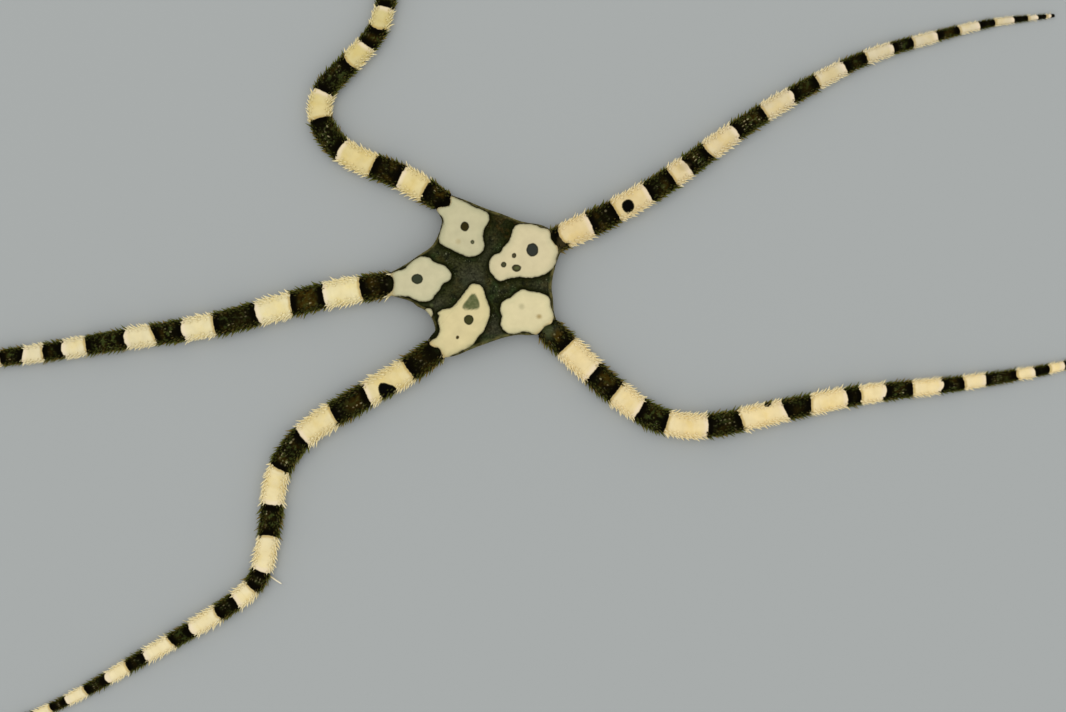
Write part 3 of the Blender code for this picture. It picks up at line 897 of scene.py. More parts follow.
@dataclass(frozen=True)
class SkinFinish:
    """The skin of disc and arms, whose plates and markings come from numbers kept on the mesh.

    Attributes:
        tones: the markings' colours.
        roughness, specular: the shader's.
        ember: the dark gaps in the brown clouds on the disc.
        clouds: what lies over the disc's ground away from its middle, in order.
        grain: the light grains there.
        brown, green: clouds in the middles of the dark bands, near the disc and far out.
        olive: clouds down the flanks of the dark bands.
        gold: what tints the pale bands in clouds.
        fleck, speck, suture: lengthways flecks, pale specks in rows, and seams between the plates.
        ring: the dark edge inside a spot.
        pit: painted shade in the slits beneath, darker than their shallow dent would show.
        belly_dark, belly_pale: the bands' colours beneath.
    """

    tones: MarkingTones
    roughness: float = 0.62
    specular: float = 0.005
    ember: Colour = (0.0062, 0.0078, 0.0012)
    clouds: tuple[Cloud, ...] = (
        Cloud(260.0, 4.0, 0.48, 0.62, 0.7, (0.019, 0.031, 0.010)),
        Cloud(300.0, 5.0, 0.52, 0.68, 0.7, (0.030, 0.021, 0.005)),
        Cloud(900.0, 4.0, 0.48, 0.64, 0.75, (0.0055, 0.0065, 0.003)),
    )
    grain: Cloud = Cloud(3900.0, 2.0, 0.60, 0.72, 0.8, (0.150, 0.155, 0.090))
    brown: Cloud = Cloud(420.0, 4.0, 0.46, 0.64, 1.0, (0.056, 0.032, 0.003))
    green: Cloud = Cloud(1300.0, 4.0, 0.50, 0.64, 1.0, (0.034, 0.044, 0.010))
    olive: Cloud = Cloud(1200.0, 3.0, 0.40, 0.66, 0.8, (0.050, 0.052, 0.008))
    gold: Colour = (0.97, 0.91, 0.68)
    fleck: Colour = (0.078, 0.086, 0.020)
    speck: Colour = (0.34, 0.295, 0.150)
    suture: Colour = (0.48, 0.33, 0.12)
    ring: Colour = (0.010, 0.010, 0.003)
    pit: Colour = (0.020, 0.014, 0.010)
    belly_dark: Colour = (0.20, 0.165, 0.095)
    belly_pale: Colour = (0.74, 0.66, 0.45)

    def material(self, markings: bpy.types.NodeTree) -> bpy.types.Material:
        """Builds the material.

        Args:
            markings: the shared node group of the markings.

        Returns:
            The material.
        """
        coat = Coat("living_skin", self.specular)
        graph = coat.graph
        disc = graph.attribute("disc")
        arm = graph.math("SUBTRACT", 1.0, disc, clamp=True)
        colour = coat.mark(markings, disc, 0.35, 0.45)
        colour = self.ground(coat, disc, colour)
        broken = coat.cloud(900.0, 4.0, 0.36, 0.62, 0.25, 1.0)
        colour = graph.mix(graph.attribute("rim") * broken, colour, self.tones.rim)
        seam, colour = self.plates(coat, arm, colour)
        colour = self.spots(coat, colour)
        beneath = graph.mix(graph.step(coat.depth, -0.1, 0.15), self.belly_dark, self.belly_pale)
        colour = graph.mix(graph.attribute("under") * 0.75, colour, beneath)
        # Painted shade: the slits are made near black, as if deep, past the shallow dent the mesh has there.
        colour = graph.mix(graph.attribute("slit"), colour, self.pit)
        rough = coat.cloud(1900.0, 3.0, 0.3, 0.7, self.roughness - 0.08, self.roughness + 0.1)
        height = coat.noise(1100.0, 4.0) * disc + coat.noise(3600.0, 2.0) * 0.45 + seam * -0.12
        return coat.finish(colour, rough, height, 0.45, 0.00012)

    def ground(self, coat: Coat, disc: Value, colour: Value) -> Value:
        """Brown, green and grey clouds, and fine light grains, on the disc's dark ground."""
        graph = coat.graph
        inside = disc * graph.step(coat.depth, -0.12, -0.8)
        middle = graph.attribute("bloom") * inside * 0.85
        colour = graph.mix(middle, colour, self.tones.bloom)
        rust = graph.attribute("rust") * disc * graph.step(coat.depth, -0.05, -0.4, 0.0, 0.75)
        glow = graph.mix(coat.cloud(820.0, 4.0, 0.44, 0.60), self.ember, self.tones.rust)
        colour = graph.mix(rust, colour, glow)
        outer = inside * (1.0 - graph.math("MAXIMUM", middle * 0.75, rust))
        for cloud in self.clouds:
            colour = cloud.over(coat, outer, colour)
        colour = self.grain.over(coat, coat.cloud(420.0, 3.0, 0.42, 0.66, 0.08, 1.0) * outer, colour)
        stipple = coat.cloud(2700.0, 3.0, 0.36, 0.64, -0.34, 0.36)
        return graph.scaled(colour, stipple * inside + 1.0)

    def spots(self, coat: Coat, colour: Value) -> Value:
        """The small round spots, dark-rimmed on the disc, whose edges waver a little."""
        graph = coat.graph
        edge = graph.attribute("ink") + (coat.noise(1500.0, 3.0) - 0.5) * 0.22
        inner = graph.mix(graph.step(edge, -0.32, -0.06) * 0.75, graph.attribute("stain", "Color"), self.ring)
        colour = graph.mix(graph.step(edge, 0.11, -0.11), colour, inner)
        broken = coat.cloud(1700.0, 3.0, 0.30, 0.60, 0.90, 1.0)
        colour = graph.mix(graph.attribute("moss") * broken, colour, self.tones.moss)
        return graph.mix(graph.attribute("tan"), colour, self.tones.tan)

    def plates(self, coat: Coat, arm: Value, colour: Value) -> tuple[Value, Value]:
        """The joints' seams, the tones and specks of the arms' bands, and painted light that lightens the pale
        bands' flanks.

        Args:
            coat: the material being built.
            arm: 1 on the arms and 0 on the disc.
            colour: the colour so far.

        Returns:
            The seams' mask and the new colour.
        """
        graph, depth = coat.graph, coat.depth
        joint, across, up, far = (graph.attribute(name) for name in ("joint", "across", "up", "far"))
        line = graph.step(abs(abs(across) - 0.66), 0.07, 0.01) * graph.step(up, 0.5, 0.7)
        seam = graph.math("MAXIMUM", graph.step(abs(joint.fract() - 0.5), 0.40, 0.50), line) * arm
        pale = graph.step(depth, -0.1, 0.2)
        colour = graph.mix(seam * pale * coat.cloud(260.0, 1.0, 0.40, 0.66, 0.0, 0.07), colour, self.suture)
        ends = pale * arm
        golden = graph.mix(1.0, colour, self.gold, "MULTIPLY")
        colour = graph.mix(coat.cloud(360.0, 3.0, 0.44, 0.66) * ends * 0.55, colour, golden)
        colour = graph.mix(far * graph.step(depth, 1.1, 0.2) * ends * 0.7, colour, self.tones.far_rim)
        colour = graph.mix((1.0 - far) * graph.step(depth, 0.7, 0.0) * ends * 0.8, colour, self.tones.near_rim)
        inner = graph.step(depth, -0.8, -1.9) * arm * coat.cloud(75.0, 1.0, 0.38, 0.62, 0.35, 1.0)
        colour = self.brown.over(coat, inner * graph.step(joint, 22.0, 7.0, 0.35, 1.0), colour)
        colour = self.green.over(coat, inner * graph.step(joint, 8.0, 24.0, 0.1, 0.9), colour)
        flank = graph.step(up, 0.96, 0.66) * graph.step(depth, -0.1, -0.5) * arm
        colour = self.olive.over(coat, flank, colour)
        # Painted light: the pale bands' flanks are made up to 18% lighter, against the shade that falls on them.
        colour = graph.scaled(colour, graph.step(up, 0.95, 0.55, 0.0, 0.18) * ends + 1.0)
        return seam, self.specks(coat, joint, across, inner, colour)

    def specks(self, coat: Coat, joint: Value, across: Value, inner: Value, colour: Value) -> Value:
        """Olive flecks lengthways, and small pale specks in rows, on the back of the dark bands.

        Args:
            coat: the material being built.
            joint: the joint's number, which grows evenly inside a joint.
            across: signed shares of the arm's half width.
            inner: the mask of the dark bands' middles.
            colour: the colour so far.

        Returns:
            The new colour.
        """
        graph = coat.graph
        fleck = graph.step(graph.noise(graph.joined(across * 6.0, joint * 2.4), 1.0, 3.0), 0.56, 0.72)
        colour = graph.mix(fleck * inner * 0.8, colour, self.fleck)
        lengthways = ((joint * 2.0).fract() - 0.5) * 0.8
        crossways = ((across * 2.6 + 0.5).fract() - 0.5) * 1.25
        gap = graph.math("SQRT", lengthways ** 2.0 + crossways ** 2.0)
        dot = graph.step(gap + (coat.noise(1500.0, 2.0) - 0.5) * 1.1, 0.26, 0.06)
        back = graph.step(graph.attribute("up"), 0.76, 0.9) * inner
        return graph.mix(dot * coat.cloud(620.0, 1.0, 0.50, 0.68) * back * 0.85, colour, self.speck)


@dataclass(frozen=True)
class SpineFinish:
    """Spines, scales and feet: the skin's markings at the root, and a tip of its own tint, whose pale one is partly
    painted light.
    """

    name: str
    # Painted light in part: the pale tip is lighter than the pale skin, partly the spines' own paler tips and
    # partly lifting the shade between spines.
    pale_tip: Colour = (0.88, 0.77, 0.46)
    dark_tip: Colour = (0.150, 0.158, 0.030)
    warm_tip: Colour = (0.300, 0.205, 0.055)
    tip_share: float = 0.75
    roughness: float = 0.5

    def material(self, markings: bpy.types.NodeTree) -> bpy.types.Material:
        """Builds the material.

        Args:
            markings: the shared node group of the markings.

        Returns:
            The material.
        """
        coat = Coat(self.name, 0.01)
        graph = coat.graph
        colour = coat.mark(markings, 0.0, 0.2, 0.3)
        dark = graph.mix(graph.step(graph.attribute("tint"), 0.55, 1.0) * 0.8, self.dark_tip, self.warm_tip)
        tip = graph.mix(graph.step(coat.depth, -0.15, 0.15), dark, self.pale_tip)
        reach = graph.attribute("reach")
        fade = graph.step(reach, 0.0, 0.65) * graph.attribute("glow") * self.tip_share
        # Noise streaks vary the spines' tone; their lift above 1 is partly painted light against the shade between
        # spines.
        colour = graph.scaled(graph.mix(fade, colour, tip), coat.cloud(4200.0, 2.0, 0.35, 0.7, 0.94, 1.12))
        rough = graph.step(reach, 0.0, 1.0, self.roughness + 0.1, self.roughness)
        return coat.finish(colour, rough, coat.noise(6500.0, 2.0), 0.3, 0.00004)


@dataclass(frozen=True)
class PlateFinish:
    """The hard plates and papillae round the mouth."""

    name: str
    ground: Colour = (0.60, 0.52, 0.34)
    shade: Colour = (0.30, 0.23, 0.12)
    roughness: float = 0.48

    def material(self) -> bpy.types.Material:
        """Builds the material."""
        coat = Coat(self.name, 0.2)
        colour = coat.graph.mix(coat.cloud(900.0, 4.0, 0.35, 0.72) * 0.7, self.ground, self.shade)
        rough = coat.cloud(2300.0, 3.0, 0.3, 0.7, self.roughness - 0.07, self.roughness + 0.1)
        return coat.finish(colour, rough, coat.noise(3000.0, 3.0), 0.4, 0.00008)


@dataclass
class Roots:
    """Where many like pieces grow, and how each one stands."""

    places: list[Vector] = field(default_factory=list)
    directions: list[Vector] = field(default_factory=list)
    sizes: list[tuple[float, float, float]] = field(default_factory=list)
    pale: list[float] = field(default_factory=list)
    bake: list[Point] = field(default_factory=list)
    tint: list[float] = field(default_factory=list)
    glow: list[float] = field(default_factory=list)
    cast: list[Colour] = field(default_factory=list)

    def add(self, place: Vector, direction: Vector, girth: float, length: float, pale: float,
            bake: Point, tint: float = 0.5, glow: float = 1.0, cast: Colour = (1.0, 1.0, 1.0)) -> None:
        """Adds one root.

        Args:
            place: its place from the disc's middle.
            direction: where its tip points.
            girth: its radius.
            length: how long it is.
            pale: how far inside the pale the skin is there.
            bake: the skin's place there on the bake map.
            tint: how warm its tip is, 0 to 1.
            glow: how far its tip takes that tint, 0 to 1.
            cast: how its pale colour is off the usual one.
        """
        self.places.append(place)
        self.directions.append(direction.normalized())
        self.sizes.append((girth * MM, girth * MM, length * MM))
        self.pale.append(pale)
        self.bake.append(bake)
        self.tint.append(tint)
        self.glow.append(glow)
        self.cast.append(cast)


@dataclass
class Growth:
    """Many tapered pieces, grown on their roots by Geometry Nodes.

    Attributes:
        sides, bands: faces round one piece and along it.
        swell: how much fuller it is half way out.
        tip: the tip's share of the root's radius.
        flat: how flat it is, 1 being round.
        curl: how far its tip bends, as a share of its own girth.
        spin: how far each piece may be turned about its own length, in radians.
        seed: the draw of that turn.
    """

    sides: int = 6
    bands: int = 4
    swell: float = 0.0
    tip: float = 0.2
    flat: float = 1.0
    curl: float = 0.35
    spin: float = math.tau
    seed: int = 5

    def tree(self) -> bpy.types.NodeTree:
        """Builds the node tree, or gives the one already built."""
        made = bpy.data.node_groups.get("tapered_growth")
        if made:
            return made
        number, whole, shape = "NodeSocketFloat", "NodeSocketInt", "NodeSocketGeometry"
        tree, graph, io = new_group(
            "tapered_growth", "GeometryNodeTree",
            (("Roots", shape, None), ("Sides", whole, 6), ("Bands", whole, 4), ("Swell", number, 0.1),
             ("Tip", number, 0.16), ("Flat", number, 1.0), ("Curl", number, 0.9), ("Spin", number, 6.28),
             ("Patch", number, 0.003), ("Seed", whole, 1), ("Material", "NodeSocketMaterial", None)),
            (("Geometry", shape),))
        upwards = (0.0, 0.0, 1.0)
        aimed = graph.read("FunctionNodeAlignRotationToVector", "Rotation",
                           {"Vector": self.named(graph, "aim")}, axis="Z")
        upright = graph.read("FunctionNodeAlignRotationToVector", "Rotation",
                             {"Rotation": aimed, "Vector": upwards}, axis="X", pivot_axis="Z")
        draw = graph.read("FunctionNodeRandomValue", 1, {3: io["Spin"], "Seed": io["Seed"]}, data_type="FLOAT")
        spin = graph.read("FunctionNodeAxisAngleToRotation", "Rotation", {"Axis": upwards, "Angle": draw})
        turn = graph.read("FunctionNodeRotateRotation", "Rotation",
                          {"Rotation": upright, "Rotate By": spin}, rotation_space="LOCAL")
        spread = graph.read("GeometryNodeInstanceOnPoints", "Instances", {
            "Points": io["Roots"], "Instance": self.one_piece(graph, io), "Rotation": turn,
            "Scale": self.named(graph, "size")})
        real = graph.read("GeometryNodeRealizeInstances", "Geometry", {"Geometry": spread})
        centred = graph.vector("SUBTRACT", self.named(graph, "leaf"), (0.5, 0.5, 0.0))
        laid = graph.vector("ADD", self.named(graph, "bake"), graph.scaled(centred, io["Patch"]))
        mapped = self.stored(graph, real, BAKE_MAP, laid, "FLOAT2", "CORNER")
        smooth = graph.read("GeometryNodeSetShadeSmooth", "Geometry", {"Geometry": mapped})
        graph.feed(io["out Geometry"], graph.read("GeometryNodeSetMaterial", "Geometry", {
            "Geometry": smooth, "Material": io["Material"]}))
        return tree

    @staticmethod
    def named(graph: Graph, name: str) -> Value:
        """A vector kept on the geometry."""
        node = graph.add("GeometryNodeInputNamedAttribute", {"Name": name}, data_type="FLOAT_VECTOR")
        return Value(graph, next(s for s in node.outputs if s.name == "Attribute" and s.enabled))

    @staticmethod
    def stored(graph: Graph, geometry: Value, name: str, value: Value, kind: str, domain: str) -> Value:
        """The geometry with a number or vector kept on it."""
        return graph.read("GeometryNodeStoreNamedAttribute", "Geometry", {
            "Geometry": geometry, "Name": name, "Value": value}, data_type=kind, domain=domain)

    def one_piece(self, graph: Graph, io: dict) -> Value:
        """One piece of unit length along Z, tapered, swollen and bent.

        Args:
            graph: the tree's graph.
            io: its sockets by name.

        Returns:
            The piece's geometry.
        """
        tube = graph.add("GeometryNodeMeshCylinder", {
            "Vertices": io["Sides"], "Side Segments": io["Bands"], "Radius": 1.0, "Depth": 1.0},
            fill_type="NGON")
        mesh, leaf = (Value(graph, tube.outputs[name]) for name in ("Mesh", "UV Map"))
        mesh = self.stored(graph, mesh, "leaf", leaf, "FLOAT2", "CORNER")
        split = graph.add("ShaderNodeSeparateXYZ", {0: graph.read("GeometryNodeInputPosition", 0)})
        x, y, z = (Value(graph, socket) for socket in split.outputs)
        reach = graph.math("ADD", z, 0.5, clamp=True)
        mesh = self.stored(graph, mesh, "reach", reach, "FLOAT", "POINT")
        hump = graph.math("SINE", reach * math.pi) * io["Swell"]
        full = (1.0 - reach ** 0.9 * (1.0 - io["Tip"])) + hump
        place = graph.joined(x * full * io["Flat"] + reach ** 2.0 * io["Curl"], y * full, reach)
        return graph.read("GeometryNodeSetPosition", "Geometry", {"Geometry": mesh, "Position": place})

    def grow(self, name: str, roots: Roots, placement: Placement, material: bpy.types.Material) -> bpy.types.Object:
        """Grows the pieces and makes them one plain mesh.

        Args:
            name: the finished piece's name.
            roots: where they grow.
            placement: where the disc's middle is.
            material: their finish.

        Returns:
            The finished piece.
        """
        seeds = bpy.data.meshes.new(name + "_roots")
        seeds.from_pydata(placement.metres(np.array(roots.places)).tolist(), [], [])
        write_attribute(seeds, "aim", np.array(roots.directions))
        write_attribute(seeds, "size", np.array(roots.sizes))
        for kept in ("pale", "tint", "glow", "cast"):
            write_attribute(seeds, kept, np.array(getattr(roots, kept)))
        write_attribute(seeds, "bake", np.array([(u, v, 0.0) for u, v in roots.bake]))
        holder = bpy.data.objects.new(name + "_roots", seeds)
        bpy.context.scene.collection.objects.link(holder)
        tree = self.tree()
        modifier = holder.modifiers.new("growth", "NODES")
        modifier.node_group = tree
        values = {"Sides": self.sides, "Bands": self.bands, "Swell": self.swell, "Tip": self.tip,
                  "Flat": self.flat, "Curl": self.curl, "Spin": self.spin, "Patch": BAKE_PATCH,
                  "Seed": self.seed, "Material": material}
        for item in tree.interface.items_tree:
            if item.in_out == "INPUT" and item.name in values:
                modifier[item.identifier] = values[item.name]
        graph = bpy.context.evaluated_depsgraph_get()
        mesh = bpy.data.meshes.new_from_object(holder.evaluated_get(graph))
        bpy.data.objects.remove(holder, do_unlink=True)
        for spare in ("aim", "size", "bake", "leaf"):
            layer = mesh.attributes.get(spare)
            if layer:
                mesh.attributes.remove(layer)
        return add_piece(name, mesh)


@dataclass
class Skin:
    """One skin over the disc and all five arms.

    Attributes:
        arms: the arms by letter.
        columns: how many points the disc's edge has.
        top_rings, under_rings, well_rings: rings of points on the disc's back, beneath it, and in the mouth.
        edge_height: how high the disc is widest.
        shoulder, dome: how far the back rises close to the edge, and on to its middle.
        belly: how high the disc's underside is.
        well_radius, well_top: the mouth's hollow.
        shoulder_wider: how far the disc's skin stands out beside the arms.
        flank_drop, flank_reach: how far the disc's edge comes down beside an arm, and over what distance.
        lid: how far the disc's skin lies above an arm's back.
        lift: how far the arms' undersides clear the floor.
        root_narrowing: how much narrower an arm is at the mouth.
        cheek_place, cheek_height, cheek_reach: low swellings beside each arm's root, along and aside.
        unevenness, unevenness_scale: how far the back rises and falls at random, and how closely.
        slit_depth: how deep the slits beside the arms' roots are.
        joint_phases: where each joint has rings, as shares of its length.
        joint_swells: how much wider the arm is at each of them.
    """

    arms: dict[str, Arm]
    columns: int = 400
    top_rings: int = 52
    under_rings: int = 26
    well_rings: int = 6
    edge_height: float = 2.6
    shoulder: float = 1.6
    dome: float = 0.8
    belly: float = 0.9
    well_radius: float = 3.5
    well_top: float = 1.95
    shoulder_wider: float = 0.1
    flank_drop: float = 1.0
    flank_reach: float = 1.6
    lid: float = 0.05
    lift: float = 0.02
    root_narrowing: float = 0.14
    cheek_place: Point = (-2.6, 2.0)
    cheek_height: float = 0.14
    cheek_reach: float = 1.3
    unevenness: float = 0.10
    unevenness_scale: float = 0.33
    slit_depth: float = 0.25
    joint_phases: tuple[float, ...] = (0.05, 0.32, 0.66, 0.90, 0.975)
    joint_swells: tuple[float, ...] = (0.982, 0.997, 1.004, 1.009, 0.998)
    vertices: list[np.ndarray] = field(default_factory=list)
    faces: list[tuple[int, ...]] = field(default_factory=list)
    corners: list[tuple[np.ndarray, ...]] = field(default_factory=list)
    numbers: dict[str, list[np.ndarray]] = field(default_factory=dict)

    NUMBERS = ("pale", "disc", "ink", "moss", "tan", "rust", "bloom", "joint", "across", "up", "under", "rim",
               "slit", "far", "cast", "stain")

    def side_point(self, arm: Arm, hand: Hand) -> Point:
        """Where the disc's edge meets one side of an arm."""
        distance = float(arm.shoulder_at(np.array(hand.value)))
        half = arm.width(distance) / 2 + self.shoulder_wider
        point = arm.place(distance) + sideways(arm.heading(distance)) * hand.value * half
        return point.x, point.y

    def outline(self) -> np.ndarray:
        """The disc's edge from above, as evenly spaced points, anticlockwise."""
        loop: list[Vector] = []
        letters = list(DISC_SIDES)
        for letter, after in zip(letters, letters[1:] + letters[:1]):
            side = [self.side_point(self.arms[letter], Hand.LEFT), *DISC_SIDES[letter],
                    self.side_point(self.arms[after], Hand.RIGHT)]
            loop.extend(smooth_line(side, 12)[:-1])
            arm = self.arms[after]
            cut = arm.place(float(arm.shoulder_at(np.array(0.0))) + 0.15)
            bite = [side[-1], (cut.x, cut.y), self.side_point(arm, Hand.LEFT)]
            loop.extend(smooth_line(bite, 12)[:-1])
        points = np.array([point.to_2d() for point in loop])
        closed = np.vstack([points, points[:1]])
        marks = np.concatenate([[0.0], np.cumsum(np.linalg.norm(np.diff(closed, axis=0), axis=1))])
        reads = np.linspace(0.0, marks[-1], self.columns, endpoint=False)
        return np.column_stack([np.interp(reads, marks, closed[:, i]) for i in range(2)])

    def keep(self, **given: np.ndarray) -> None:
        """Keeps the numbers of some new vertices, with 0 for what isn't given."""
        count = len(given["pale"])
        for name in self.NUMBERS:
            self.numbers.setdefault(name, []).append(given.get(name, np.zeros(count)))

    def grid(self, points: np.ndarray, uv: np.ndarray) -> None:
        """Adds rings of points and the faces between them, with the first and last ring closed.

        Args:
            points: rings × points × 3 places.
            uv: rings × (points + 1) × 2 places on the bake map.
        """
        start = sum(len(part) for part in self.vertices)
        rings, wrap = points.shape[:2]
        self.vertices.append(points.reshape(-1, 3))
        for r in range(rings - 1):
            low, high = start + r * wrap, start + (r + 1) * wrap
            for i in range(wrap):
                j = (i + 1) % wrap
                self.faces.append((low + i, low + j, high + j, high + i))
                self.corners.append((uv[r, i], uv[r, i + 1], uv[r + 1, i + 1], uv[r + 1, i]))
        for r, turn in ((0, -1), (rings - 1, 1)):
            self.faces.append(tuple(range(start + r * wrap, start + (r + 1) * wrap))[::turn])
            self.corners.append(tuple(uv[r, :wrap])[::turn])

    def add_arm(self, arm: Arm) -> None:
        """Adds one arm, joint by joint, from the mouth to its tip."""
        ring = arm.section.ring()
        wrap = len(ring)
        last = float(arm.joint_at(arm.length))
        joints, swells = [], []
        for number in range(int(last) + 1):
            for phase, swell in zip(self.joint_phases, self.joint_swells):
                if number + phase < last - 0.2:
                    joints.append(number + phase)
                    swells.append(swell)
        joints += [last - 0.12, last - 0.04, last]
        swells += [0.85, 0.6, 0.25]
        distances = np.asarray(arm.distance_at(np.array(joints)))
        points = np.zeros((len(joints), wrap, 3))
        for r, (distance, swell) in enumerate(zip(distances, swells)):
            middle, side = arm.place(distance), sideways(arm.heading(distance))
            width = arm.width(distance) * swell
            root = 1.0 - self.root_narrowing * min(max(-distance / arm.root_length, 0.0), 1.0)
            points[r, :, 0] = middle.x + side.x * ring[:, 0] * width / 2 * root
            points[r, :, 1] = middle.y + side.y * ring[:, 0] * width / 2 * root
            points[r, :, 2] = self.lift + ring[:, 1] * (width * arm.height_share - self.lift)
        along = np.repeat(distances, wrap)
        across = np.tile(ring[:, 0], len(joints))
        up = np.tile(ring[:, 1], len(joints))
        around = np.arange(wrap + 1) / wrap
        u, v = arm.bake_place(distances[:, None], around[None, :])
        uv = np.stack(np.broadcast_arrays(u, v), axis=2)
        self.grid(points, uv)
        flat = points.reshape(-1, 3)[:, :2]
        back = up > 0.3
        pale = arm.paleness(along, across)
        root = along < 4.0
        pale[root] = np.maximum(pale[root], patch_depth(flat[root]))
        share = arm.disc_share(along, across, pale)
        cast = arm.cast_at(along)
        beside = share > 0
        cast[beside] += share[beside, None] * (patch_cast(flat[beside]) - cast[beside])
        self.keep(
            **self.spot_numbers(flat, back),
            pale=pale,
            disc=share,
            cast=cast,
            joint=np.repeat(joints, wrap),
            across=across,
            far=arm.far_end(along, across),
            up=up,
            under=np.clip(1.0 - up / 0.10, 0.0, 1.0),
        )

    @staticmethod
    def spot_numbers(places: np.ndarray, shown: np.ndarray) -> dict[str, np.ndarray]:
        """How far outside the dark spots, and how deep in each other tint, each place is.

        Args:
            places: N × 2 places from above.
            shown: N values, 0 where no spot shows.

        Returns:
            N numbers for each tint, by its name.
        """
        found = {tint.value: np.zeros(len(places)) for tint in Tint}
        for spot in SPOTS:
            if spot.tint is not Tint.INK:
                soft = 2.2 if spot.tint in (Tint.RUST, Tint.BLOOM) else 0.4
                cover = np.clip(0.5 - spot.distance(places) / soft, 0.0, 1.0) * spot.strength
                found[spot.tint.value] = np.maximum(found[spot.tint.value], cover * shown)
        wedge = np.clip(0.6 + MOSS_WEDGE.depth(places) / 0.25, 0.0, 1.0)
        found["moss"] = np.maximum(found["moss"], wedge * shown)
        gap, found["stain"] = ink_distance(places)
        found["ink"] = np.where(shown > 0, gap, 9.0)
        return found

    def edge_level(self, places: np.ndarray) -> np.ndarray:
        """How high the disc's edge is, which comes down to the arms' sides beside them."""
        drop = np.zeros(len(places))
        for arm in self.arms.values():
            for hand in Hand:
                gap = np.linalg.norm(places[:, :2] - self.side_point(arm, hand), axis=1)
                drop = np.maximum(drop, np.exp(-(gap / self.flank_reach) ** 2))
        return self.edge_height - self.flank_drop * drop

    def over_arms(self, height: np.ndarray, places: np.ndarray) -> np.ndarray:
        """Lifts the disc's back so that it runs out over the arms' backs without a step.

        Args:
            height: heights of the back.
            places: the same points from above.

        Returns:
            The lifted heights.
        """
        for arm in self.arms.values():
            along, across = arm.from_root(places)
            above = (np.abs(across) < 1.0) & (along > -6.0)
            tall = arm.width(0.0) * arm.height_share * max(self.joint_swells)
            lid = arm.section.crest_at(np.abs(across)) * tall + self.lid
            soft = (height + lid + np.sqrt((height - lid) ** 2 + 0.09)) / 2
            height = np.where(above, soft, height)
        return height

    def back_height(self, inset: np.ndarray, places: np.ndarray) -> np.ndarray:
        """How high the disc's back is.

        Args:
            inset: distances inside the disc's edge.
            places: the same points from above.

        Returns:
            Their heights.
        """
        inner = np.clip(inset / 1.6, 0.0, 1.0)
        round_off = np.sqrt(1 - (1 - inner) ** 2)
        radius = np.hypot(places[:, 0], places[:, 1])
        level = self.edge_level(places)
        height = level + (self.edge_height + self.shoulder - level) * round_off
        height += self.dome * np.clip(1 - (radius / 13.0) ** 2, 0.0, 1.0) * inner
        for arm in self.arms.values():
            heading = arm.heading(0.0)
            for hand in Hand:
                along, aside = self.cheek_place
                spot = arm.place(along) + sideways(heading) * hand.value * aside
                gap = np.hypot(places[:, 0] - spot.x, places[:, 1] - spot.y)
                height += self.cheek_height * np.exp(-(gap / self.cheek_reach) ** 2)
        soft = np.array([noise.noise(Vector((*(place * self.unevenness_scale), 4.0))) for place in places])
        return self.over_arms(height + self.unevenness * soft * np.clip(inset / 1.2, 0.0, 1.0), places)

    def add_disc(self) -> None:
        """Adds the disc, from the middle of its back over the edge and beneath it into the mouth."""
        edge = self.outline()
        radii = np.hypot(edge[:, 0], edge[:, 1])
        rings, shown, inset_rows = [], [], []
        reaches = 1 - (1 - np.linspace(0.004, 1.0, self.top_rings)) ** 1.25
        for share in reaches:
            flat = edge * share
            inset = radii * (1 - share)
            rings.append(np.column_stack([flat, self.back_height(inset, flat)]))
            inset_rows.append(inset)
            shown.append(0.0)
        unit = edge / radii[:, None]
        turns = np.unwrap(np.arctan2(edge[:, 1], edge[:, 0]))
        steps = np.arange(self.columns) * math.tau / self.columns
        even = steps + np.mean(turns - steps)
        for step in np.linspace(0.0, 1.0, self.under_rings)[1:]:
            reach = 1 - step**1.3
            radius = self.well_radius + (radii - self.well_radius) * reach
            inset = radii - radius
            drop = np.sqrt(1 - (1 - np.clip(inset / 1.4, 0.0, 1.0)) ** 2)
            angle = turns * reach + even * (1 - reach)
            place = np.column_stack([np.cos(angle), np.sin(angle)]) * radius[:, None]
            level = self.edge_level(place)
            height = level - (level - self.belly) * drop
            rings.append(np.column_stack([place, height]))
            inset_rows.append(inset)
            shown.append(1.0)
        for step in np.linspace(0.0, 1.0, self.well_rings + 1)[1:]:
            radius = self.well_radius - 0.12 - 0.35 * step
            height = self.belly + 0.1 + (self.well_top - self.belly - 0.1) * step
            rings.append(np.column_stack([np.cos(even) * radius, np.sin(even) * radius,
                                          np.full(self.columns, height)]))
            inset_rows.append(np.full(self.columns, 9.0))
            shown.append(1.0)
        points = np.array(rings)
        inset = np.array(inset_rows)
        under = np.repeat(shown, self.columns)
        slit = self.slits(points.reshape(-1, 3)) * under
        points[:, :, 2] += self.slit_depth * slit.reshape(points.shape[:2])
        self.grid(points, self.disc_map(unit, len(rings)))
        flat = points.reshape(-1, 3)[:, :2]
        pale = patch_depth(flat)
        top = 1.0 - under
        share = np.ones(len(flat))
        rim = np.clip(1.3 - inset.reshape(-1) / 0.5, 0.0, 0.85)
        for arm in self.arms.values():
            along, across = arm.from_root(flat)
            near = (np.abs(across) < 1.4) & (along > -2.5)
            ends = arm.disc_share(along, np.clip(across, -1, 1), pale)
            share = np.where(near, np.minimum(share, ends), share)
            rim *= np.where(near, np.clip(np.abs(across) * 3.0 - 2.0, 0.0, 1.0), 1.0)
        self.keep(
            pale=np.where(under > 0, -2.5, pale),
            disc=share,
            **self.spot_numbers(flat, top),
            up=np.ones(len(flat)),
            under=under * np.clip(inset.reshape(-1) / 1.5, 0.0, 1.0),
            rim=rim * (pale < -0.15),
            slit=slit,
            cast=patch_cast(flat),
        )

